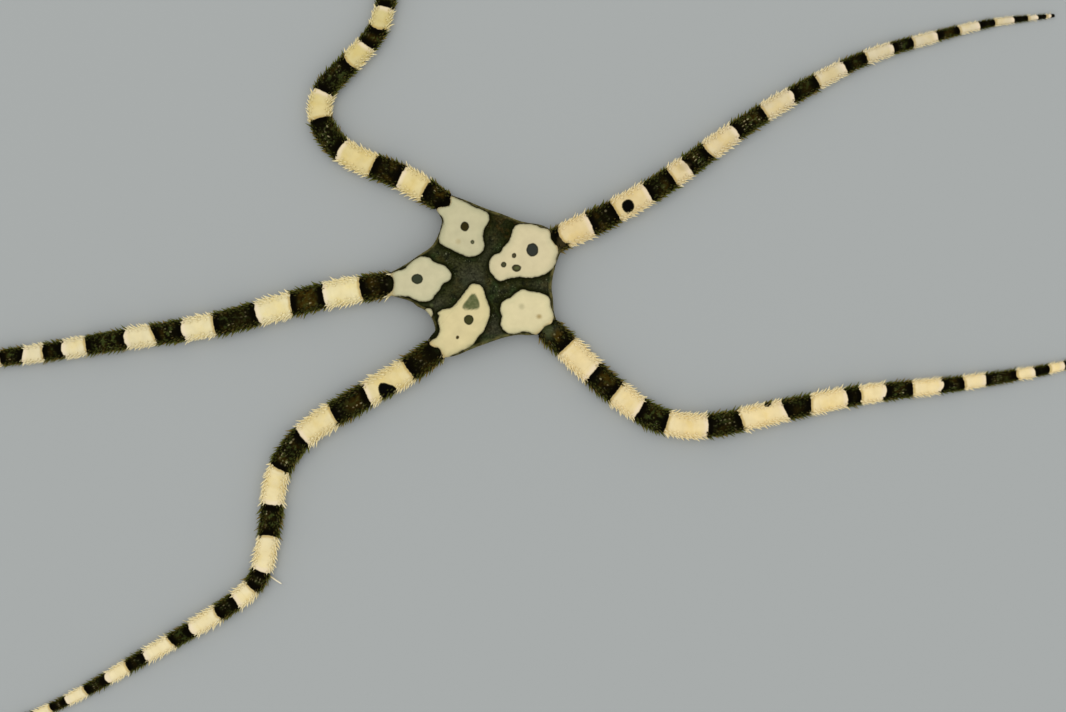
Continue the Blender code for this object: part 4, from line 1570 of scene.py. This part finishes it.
    def disc_map(self, unit: np.ndarray, rings: int) -> np.ndarray:
        """Lays the disc's two faces side by side above the arms on the bake map.

        Args:
            unit: the columns' directions.
            rings: how many rings the disc has.

        Returns:
            rings × (columns + 1) × 2 places.
        """
        turned = np.vstack([unit, unit[:1]])
        uv = np.zeros((rings, self.columns + 1, 2))
        for r in range(rings):
            if r < self.top_rings:
                uv[r] = (0.25, 0.76) + turned * 0.225 * (r + 0.3) / self.top_rings
            else:
                uv[r] = (0.75, 0.76) + turned * 0.225 * (rings - r - 0.7) / (rings - self.top_rings)
        return uv

    def slits(self, points: np.ndarray) -> np.ndarray:
        """How deep in one of the ten narrow slits beside the arms' roots each point is, 0 to 1."""
        depth = np.zeros(len(points))
        for arm in self.arms.values():
            start, heading = arm.place(0.0), arm.heading(0.0)
            off = points[:, :2] - (start.x, start.y)
            along = off @ np.array((heading.x, heading.y))
            aside = np.abs(off @ np.array((-heading.y, heading.x)))
            ends = np.clip((along + 8.6) / 0.6, 0.0, 1.0) * np.clip((-1.6 - along) / 0.6, 0.0, 1.0)
            depth = np.maximum(depth, ends * np.exp(-((aside - arm.width(0.0) / 2 - 0.42) / 0.2) ** 2))
        return depth

    def build(self, placement: Placement, material: bpy.types.Material,
              flesh: list[str]) -> bpy.types.Object:
        """Makes the skin and lets it stand for every node of flesh.

        Args:
            placement: where the disc's middle is.
            material: its finish.
            flesh: the nodes that it stands for.

        Returns:
            The skin.
        """
        self.add_disc()
        for arm in self.arms.values():
            self.add_arm(arm)
        mesh = bpy.data.meshes.new("skin")
        mesh.from_pydata(placement.metres(np.vstack(self.vertices)).tolist(), [], self.faces)
        for name, parts in self.numbers.items():
            write_attribute(mesh, name, np.concatenate(parts))
        layer = mesh.uv_layers.new(name=BAKE_MAP)
        layer.data.foreach_set("uv", np.array([place for face in self.corners for place in face]).ravel())
        mesh.materials.append(material)
        mesh.shade_smooth()
        mesh.validate()
        bm = bmesh.new()
        bm.from_mesh(mesh)
        bmesh.ops.recalc_face_normals(bm, faces=bm.faces)
        bm.to_mesh(mesh)
        bm.free()
        piece = add_piece("skin", mesh)
        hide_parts(*flesh)
        return piece


@dataclass(frozen=True)
class SpineRow:
    """One row of spines down each side of an arm.

    Attributes:
        up: how high it stands, as a share of the arm's height.
        stand: where in a joint it stands, as a share of the joint's length.
        rise, lean: how steeply its spines rise, and how far they turn out from the arm, in degrees.
        length: their length as a share of the longest.
        until: the share of the arm where the row ends.
    """

    up: float
    stand: float
    rise: float
    lean: float
    length: float
    until: float


@dataclass
class SpineCoat:
    """The spines of one arm, in rows, one of each row a side at every joint.

    Attributes:
        arm: the arm.
        rows: its rows from beneath to above.
        base_length, tip_length, length_power: the longest spines at the disc and at the tip.
        base_girth, tip_girth: their radii there.
        sink: the root's share of the way out to the side.
        bare_tip: how much of the tip has none.
    """

    arm: Arm
    rows: tuple[SpineRow, ...] = (
        SpineRow(0.10, 0.30, 0.0, 50.0, 0.62, 1.0),
        SpineRow(0.14, 0.80, 0.0, 44.0, 0.80, 1.0),
        SpineRow(0.28, 0.52, 4.0, 48.0, 0.78, 0.95),
        SpineRow(0.36, 0.95, 8.0, 42.0, 1.16, 1.0),
        SpineRow(0.46, 0.70, 12.0, 44.0, 0.86, 0.95),
        SpineRow(0.50, 0.30, 12.0, 46.0, 1.10, 1.0),
        SpineRow(0.62, 0.48, 22.0, 36.0, 0.76, 0.90),
        SpineRow(0.68, 0.92, 26.0, 34.0, 0.78, 0.85),
        SpineRow(0.79, 0.66, 30.0, 28.0, 0.70, 0.75),
        SpineRow(0.86, 0.20, 30.0, 24.0, 0.62, 0.70),
        SpineRow(0.92, 0.50, 24.0, 20.0, 0.50, 0.50),
    )
    base_length: float = 1.2
    tip_length: float = 0.50
    length_power: float = 2.4
    base_girth: float = 0.27
    tip_girth: float = 0.07
    sink: float = 0.94
    bare_tip: float = 1.0

    def roots(self) -> Roots:
        """Finds where every spine of the arm grows, and how it stands."""
        arm, roots = self.arm, Roots()
        chance = random.Random(f"spines {arm.plan.letter}")
        for joint in range(int(arm.joint_at(0.0)) - 2, int(arm.joint_at(arm.length)) + 1):
            for hand in Hand:
                start = float(arm.shoulder_at(np.array(hand.value))) + arm.plan.fringe
                for row in self.rows:
                    distance = float(arm.distance_at(joint + row.stand + chance.uniform(-0.08, 0.08)))
                    share = arm.share(distance)
                    if start <= distance <= arm.length - self.bare_tip and share <= row.until:
                        self.add(roots, row, hand, distance, chance)
        return roots

    def add(self, roots: Roots, row: SpineRow, hand: Hand, distance: float, chance: random.Random) -> None:
        """Adds one spine.

        Args:
            roots: what it is added to.
            row: its row.
            hand: its side.
            distance: how far along the arm it stands.
            chance: the arm's own seeded draw.
        """
        arm = self.arm
        share, width, heading = arm.share(distance), arm.width(distance), arm.heading(distance)
        longest = self.base_length + (self.tip_length - self.base_length) * share**self.length_power
        length = longest * row.length * arm.plan.bristle * chance.uniform(0.74, 1.22)
        girth = self.base_girth + (self.tip_girth - self.base_girth) * share**self.length_power
        girth *= (0.7 + 0.4 * row.length) * chance.uniform(0.85, 1.15)
        lean = math.radians(row.lean + chance.uniform(-11, 11))
        rise = math.radians(max(row.rise + chance.uniform(-6, 6), 0.0))
        side = sideways(heading) * hand.value
        across = arm.section.across_at(row.up)
        height = max(row.up * width * arm.height_share, girth + 0.05)
        place = arm.place(distance) + side * width / 2 * across * self.sink + Vector((0, 0, height))
        outward = side * math.cos(rise) + Vector((0, 0, math.sin(rise)))
        aim = heading * math.cos(lean) + outward * math.sin(lean)
        pale = float(arm.paleness(np.array([distance + 0.15]), np.array([0.95 * hand.value]))[0])
        if distance < 4.0:
            pale = max(pale, float(patch_depth(np.array([(place.x, place.y)]))[0]))
        pale = min(pale, float(ink_distance(np.array([(place.x, place.y)]))[0][0]))
        around = arm.section.around_at(across * -hand.value, row.up)
        glow = float(np.interp(row.up, (0.5, 0.8), (1.0, 0.3)))
        cast = tuple(arm.cast_at(np.array([distance]))[0])
        warmth = 1.0 - (1.0 - chance.random()) * float(np.interp(distance, (0.0, 14.0), (0.45, 1.0)))
        roots.add(place, aim, girth, length, pale, arm.bake_place(distance, around), warmth, glow, cast)

    def build(self, placement: Placement, material: bpy.types.Material) -> bpy.types.Object:
        """Grows the arm's spines."""
        growth = Growth(sides=5, bands=3, tip=0.06, seed=11 + self.arm.number)
        return growth.grow(f"spines_{self.arm.plan.letter}", self.roots(), placement, material)


@dataclass
class PoreScales:
    """The small scales over the feet's pores, one a side at every joint beneath the arms.

    Attributes:
        arms: the arms.
        length_share, girth_share: a scale's length and half width as shares of the arm's width.
        across: how far out it lies, as a share of the half width.
    """

    arms: list[Arm]
    length_share: float = 0.17
    girth_share: float = 0.055
    across: float = 0.70

    def build(self, placement: Placement, material: bpy.types.Material) -> bpy.types.Object:
        """Grows the scales."""
        roots = Roots()
        for arm in self.arms:
            chance = random.Random(f"scales {arm.plan.letter}")
            first = int(arm.joint_at(1.0 - arm.root_length))
            for joint in range(first, int(arm.joint_at(arm.length - 6.0))):
                distance = float(arm.distance_at(joint + 0.3))
                width, heading = arm.width(distance), arm.heading(distance)
                for hand in Hand:
                    side = sideways(heading) * hand.value
                    place = arm.place(distance) + side * width / 2 * self.across
                    girth = width * self.girth_share * chance.uniform(0.9, 1.1)
                    place = place + Vector((0, 0, girth * 0.4 + 0.03))
                    aim = heading + side * chance.uniform(0.25, 0.45)
                    pale = float(arm.paleness(np.array([distance]), np.array([0.7 * hand.value]))[0])
                    roots.add(place, aim, girth, width * self.length_share, pale,
                              arm.bake_place(distance, 0.06 if hand is Hand.RIGHT else 0.94))
        growth = Growth(sides=6, bands=3, swell=0.35, tip=0.45, flat=0.4, curl=0.0, spin=0.0)
        return growth.grow("pore_scales", roots, placement, material)


@dataclass
class TubeFeet:
    """The soft feet: ten round the mouth, and one that is stretched out beside arm c.

    Attributes:
        arms: the arms by letter.
        stretched: where the long one grows, as a distance along arm c.
        stretched_length: how long it is.
        girth: a foot's radius.
    """

    arms: dict[str, Arm]
    stretched: float = 57.2
    stretched_length: float = 3.0
    girth: float = 0.15

    def build(self, placement: Placement, material: bpy.types.Material) -> bpy.types.Object:
        """Grows the feet."""
        roots = Roots()
        arm = self.arms["c"]
        heading = arm.heading(self.stretched)
        side = sideways(heading)
        start = arm.place(self.stretched) + side * arm.width(self.stretched) * 0.42 + Vector((0, 0, 0.45))
        roots.add(start, side + heading * 0.25 + Vector((0, 0, 0.04)), self.girth, self.stretched_length,
                  3.0, arm.bake_place(self.stretched, 0.9))
        for arm in self.arms.values():
            distance = 0.5 - arm.root_length
            heading = arm.heading(0.0)
            for hand in Hand:
                place = arm.place(distance) + sideways(heading) * hand.value * 1.25 + Vector((0, 0, 0.75))
                aim = -heading + sideways(heading) * hand.value * 0.3 + Vector((0, 0, -0.25))
                roots.add(place, aim, 0.2, 0.75, 3.0, arm.bake_place(distance, 0.5))
        growth = Growth(sides=8, bands=5, swell=0.1, tip=0.75, curl=1.6, seed=3)
        return growth.grow("tube_feet", roots, placement, material)


@dataclass
class Mouth:
    """Five jaws with their teeth and papillae, and the shields round them.

    Attributes:
        arms: the arms.
        tip_radius, waist, spread, outer: the jaws' outline, as part of the mouth's round.
        levels: heights and sizes of a jaw's rings, from inside the mouth to its underside.
        shield_radius, shield_size: how far out the shields lie, and their half length and half width.
        shield_levels: heights and sizes of a shield's rings.
    """

    arms: list[Arm]
    tip_radius: float = 0.55
    waist: Point = (1.7, 0.62)
    spread: float = 27.0
    outer: float = 3.3
    levels: tuple[Point, ...] = ((1.78, 0.90), (1.35, 1.0), (0.85, 1.0), (0.58, 0.93), (0.44, 0.78),
                                 (0.38, 0.5), (0.37, 0.15))
    shield_radius: float = 5.75
    shield_size: Point = (1.15, 0.95)
    shield_levels: tuple[Point, ...] = ((1.05, 0.95), (0.82, 1.0), (0.66, 0.88), (0.58, 0.6), (0.56, 0.2))

    def bearings(self) -> list[float]:
        """The directions midway between neighbouring arms."""
        found = sorted(math.atan2(arm.place(0.0).y, arm.place(0.0).x) for arm in self.arms)
        return [(a + b) / 2 for a, b in zip(found, found[1:] + [found[0] + math.tau])]

    def jaw_outline(self) -> list[Point]:
        """One jaw from beneath, pointing away from its tip along X."""
        waist, half = self.waist
        points = [(self.tip_radius, 0.0), (waist, -half)]
        for step in range(-2, 3):
            angle = math.radians(self.spread * step / 2)
            points.append((self.outer * math.cos(angle), self.outer * math.sin(angle)))
        points.append((waist, half))
        return points

    @staticmethod
    def domed(bm: bmesh.types.BMesh, outline: list[Vector], levels: tuple[Point, ...], turn: Matrix) -> None:
        """Adds one closed body whose rings shrink towards its underside.

        Args:
            bm: the mesh it is added to.
            outline: its outline from beneath.
            levels: heights and sizes of its rings.
            turn: its turn about the disc's middle.
        """
        middle = sum(outline, Vector()) / len(outline)
        rows = []
        for height, size in levels:
            ring = [middle + (point - middle) * size + Vector((0, 0, height)) for point in outline]
            rows.append([bm.verts.new(turn @ point) for point in ring])
        count = len(outline)
        for low, high in zip(rows, rows[1:]):
            for i in range(count):
                j = (i + 1) % count
                bm.faces.new((low[i], low[j], high[j], high[i]))
        bm.faces.new(rows[0])
        bm.faces.new(rows[-1])

    def solid(self, name: str, bm: bmesh.types.BMesh, placement: Placement,
              material: bpy.types.Material) -> bpy.types.Object:
        """Turns finished bodies into a piece.

        Args:
            name: the piece's name.
            bm: the bodies, in millimetres from the disc's middle.
            placement: where the disc's middle is.
            material: their finish.

        Returns:
            The piece.
        """
        bmesh.ops.recalc_face_normals(bm, faces=bm.faces)
        bmesh.ops.transform(bm, matrix=Matrix.Translation(placement.shift) @ Matrix.Scale(MM, 4),
                            verts=bm.verts)
        mesh = bpy.data.meshes.new(name)
        bm.to_mesh(mesh)
        bm.free()
        mesh.materials.append(material)
        mesh.shade_smooth()
        return add_piece(name, mesh)

    def jaws(self, placement: Placement, material: bpy.types.Material) -> bpy.types.Object:
        """The five jaws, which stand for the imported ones."""
        bm = bmesh.new()
        outline = smooth_line(self.jaw_outline(), 4, closed=True)
        for bearing in self.bearings():
            self.domed(bm, outline, self.levels, Matrix.Rotation(bearing, 4, "Z"))
        piece = self.solid("jaws", bm, placement, material)
        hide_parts(*(f"jaw_{number}" for number in range(1, 6)))
        return piece

    def shields(self, placement: Placement, material: bpy.types.Material) -> bpy.types.Object:
        """A large shield outside each jaw, and two narrow ones between it and the jaw."""
        bm = bmesh.new()
        long, wide = self.shield_size
        radius = self.shield_radius
        large = smooth_line([(radius - long, 0.0), (radius - long * 0.3, -wide * 0.9),
                             (radius + long * 0.6, -wide * 0.85), (radius + long, 0.0),
                             (radius + long * 0.6, wide * 0.85), (radius - long * 0.3, wide * 0.9)], 5,
                            closed=True)
        for bearing in self.bearings():
            self.domed(bm, large, self.shield_levels, Matrix.Rotation(bearing, 4, "Z"))
            for hand in Hand:
                turn = Matrix.Rotation(bearing + hand.value * math.radians(5.6), 4, "Z")
                small = smooth_line([(3.62, 0.0), (4.2, -0.30), (4.85, 0.0), (4.2, 0.30)], 5, closed=True)
                self.domed(bm, small, self.shield_levels, turn)
        return self.solid("mouth_shields", bm, placement, material)

    def papillae(self, placement: Placement, material: bpy.types.Material) -> bpy.types.Object:
        """Small blunt teeth down both edges of each jaw and in a bunch at its tip."""
        roots = Roots()
        chance = random.Random("papillae")
        waist, half = self.waist
        end = math.radians(self.spread)
        corner = (self.outer * math.cos(end), self.outer * math.sin(end))
        for bearing in self.bearings():
            turn = Matrix.Rotation(bearing, 3, "Z")
            bake = (0.75 + 0.04 * math.cos(bearing), 0.76 + 0.04 * math.sin(bearing))
            for hand in Hand:
                for number in range(5):
                    share = (number + 0.5) / 5
                    edge = Vector((waist, half, 0.0)).lerp(Vector((*corner, 0.0)), share)
                    place = Vector((edge.x, (edge.y - 0.12) * hand.value, 0.62 + 0.05 * share))
                    aim = Vector((-0.5, hand.value * 1.0, -0.35 + chance.uniform(-0.1, 0.1)))
                    roots.add(turn @ place, turn @ aim, 0.15, 0.42 * chance.uniform(0.9, 1.1), 3.0, bake)
            for number in range(7):
                level = 0.55 + 0.16 * number
                aside = (0.14, -0.14, 0.0)[number % 3] * 1.3
                place = Vector((self.tip_radius + 0.42, aside, level))
                aim = Vector((-1.0, aside * 1.2, -0.25))
                roots.add(turn @ place, turn @ aim, 0.14, 0.55 * chance.uniform(0.9, 1.1), 3.0, bake)
        growth = Growth(sides=7, bands=3, swell=0.3, tip=0.5, curl=0.2, seed=8)
        return growth.grow("papillae", roots, placement, material)


@dataclass(frozen=True)
class Lamp:
    """A square soft light that faces the model: place and side in metres, power in watts."""

    name: str
    place: Point3
    power: float
    colour: Colour
    size: float = 1.0

    def hang(self) -> None:
        """Puts it into the scene."""
        data = bpy.data.lights.new(self.name, "AREA")
        data.shape = "SQUARE"
        data.size, data.energy, data.color = self.size, self.power, self.colour
        lamp = bpy.data.objects.new(self.name, data)
        lamp.location = self.place
        lamp.rotation_euler = (-Vector(self.place)).to_track_quat("-Z", "Y").to_euler()
        bpy.context.scene.collection.objects.link(lamp)


@dataclass
class Studio:
    """A plain pale floor, soft lights, and the camera straight above, as in the photograph.

    Attributes:
        floor_size: the floor's side, in metres.
        floor_colour: its colour.
        lens, sensor: the camera's, in mm.
        frame_width: how much of the model's plane the frame shows across.
        frame_middle: the middle of the frame.
        focus_height: the height at which the frame has that width.
        lamps: the lights.
        sky_colour, sky_strength: the even light from all round.
    """

    floor_size: float = 3.0
    floor_colour: Colour = (0.345, 0.362, 0.356)
    lens: float = 60.0
    sensor: float = 36.0
    frame_width: float = 191.9
    frame_middle: Point = (9.54, -14.04)
    focus_height: float = 3.0
    lamps: tuple[Lamp, ...] = (Lamp("window", (-0.28, 0.30, 1.1), 2.75, (1.0, 0.985, 0.96)),
                               Lamp("fill", (0.5, -0.4, 0.9), 1.1, (0.97, 0.99, 1.0)))
    sky_colour: Colour = (0.97, 0.975, 0.985)
    sky_strength: float = 0.94

    def floor(self) -> bpy.types.Object:
        """A plain floor just under the model."""
        bm = bmesh.new()
        bmesh.ops.create_grid(bm, x_segments=1, y_segments=1, size=self.floor_size / 2)
        bmesh.ops.translate(bm, vec=(0.0, 0.0, -0.00005), verts=bm.verts)
        mesh = bpy.data.meshes.new("floor")
        bm.to_mesh(mesh)
        bm.free()
        material = bpy.data.materials.new("pale_floor")
        material.use_nodes = True
        shader = material.node_tree.nodes["Principled BSDF"]
        shader.inputs["Base Color"].default_value = (*self.floor_colour, 1.0)
        shader.inputs["Roughness"].default_value = 0.85
        shader.inputs["Specular IOR Level"].default_value = 0.2
        mesh.materials.append(material)
        floor = bpy.data.objects.new("floor", mesh)
        bpy.context.scene.collection.objects.link(floor)
        return floor

    def camera(self, placement: Placement) -> None:
        """The camera, whose picture's upper edge is towards +Y."""
        data = bpy.data.cameras.new("camera")
        data.lens = self.lens
        data.sensor_width = self.sensor
        data.clip_start, data.clip_end = 0.01, 10.0
        camera = bpy.data.objects.new("camera", data)
        height = self.focus_height + self.frame_width * self.lens / self.sensor
        camera.location = placement.shift + Vector((*self.frame_middle, height)) * MM
        bpy.context.scene.collection.objects.link(camera)
        bpy.context.scene.camera = camera

    def build(self, placement: Placement) -> None:
        """Sets the whole studio up."""
        self.camera(placement)
        self.floor()
        for lamp in self.lamps:
            lamp.hang()
        world = bpy.data.worlds.new("studio")
        world.use_nodes = True
        sky = world.node_tree.nodes["Background"]
        sky.inputs["Color"].default_value = (*self.sky_colour, 1.0)
        sky.inputs["Strength"].default_value = self.sky_strength
        bpy.context.scene.world = world
        bpy.context.scene.view_settings.view_transform = "Standard"


def main() -> None:
    """Builds the model's looks and the studio round it."""
    logging.basicConfig(level=logging.INFO, format="%(name)s %(message)s")
    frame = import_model()
    placement = Placement.from_frame()
    LOG.info("disc's middle at %s", [round(value, 6) for value in placement.shift])
    arms = {plan.letter: Arm(plan, number) for number, plan in enumerate(ARM_PLANS)}
    tones = MarkingTones()
    markings = tones.group()
    skin = SkinFinish(tones).material(markings)
    spine = SpineFinish("spine_skin").material(markings)
    scale = SpineFinish("scale_skin", tip_share=0.5).material(markings)
    foot = SpineFinish("foot_skin", pale_tip=(0.84, 0.78, 0.62), roughness=0.3).material(markings)
    plate = PlateFinish("mouth_plate").material()
    tooth = PlateFinish("tooth_plate", (0.72, 0.66, 0.50), (0.46, 0.37, 0.22), 0.4).material()
    Studio().build(placement)
    flesh = [name for name in frame["nodes"] if not name.startswith("jaw")]
    Skin(arms).build(placement, skin, flesh)
    for arm in arms.values():
        SpineCoat(arm).build(placement, spine)
    PoreScales(list(arms.values())).build(placement, scale)
    TubeFeet(arms).build(placement, foot)
    mouth = Mouth(list(arms.values()))
    mouth.jaws(placement, plate)
    mouth.shields(placement, plate)
    mouth.papillae(placement, tooth)


if __name__ == "__main__":
    main()
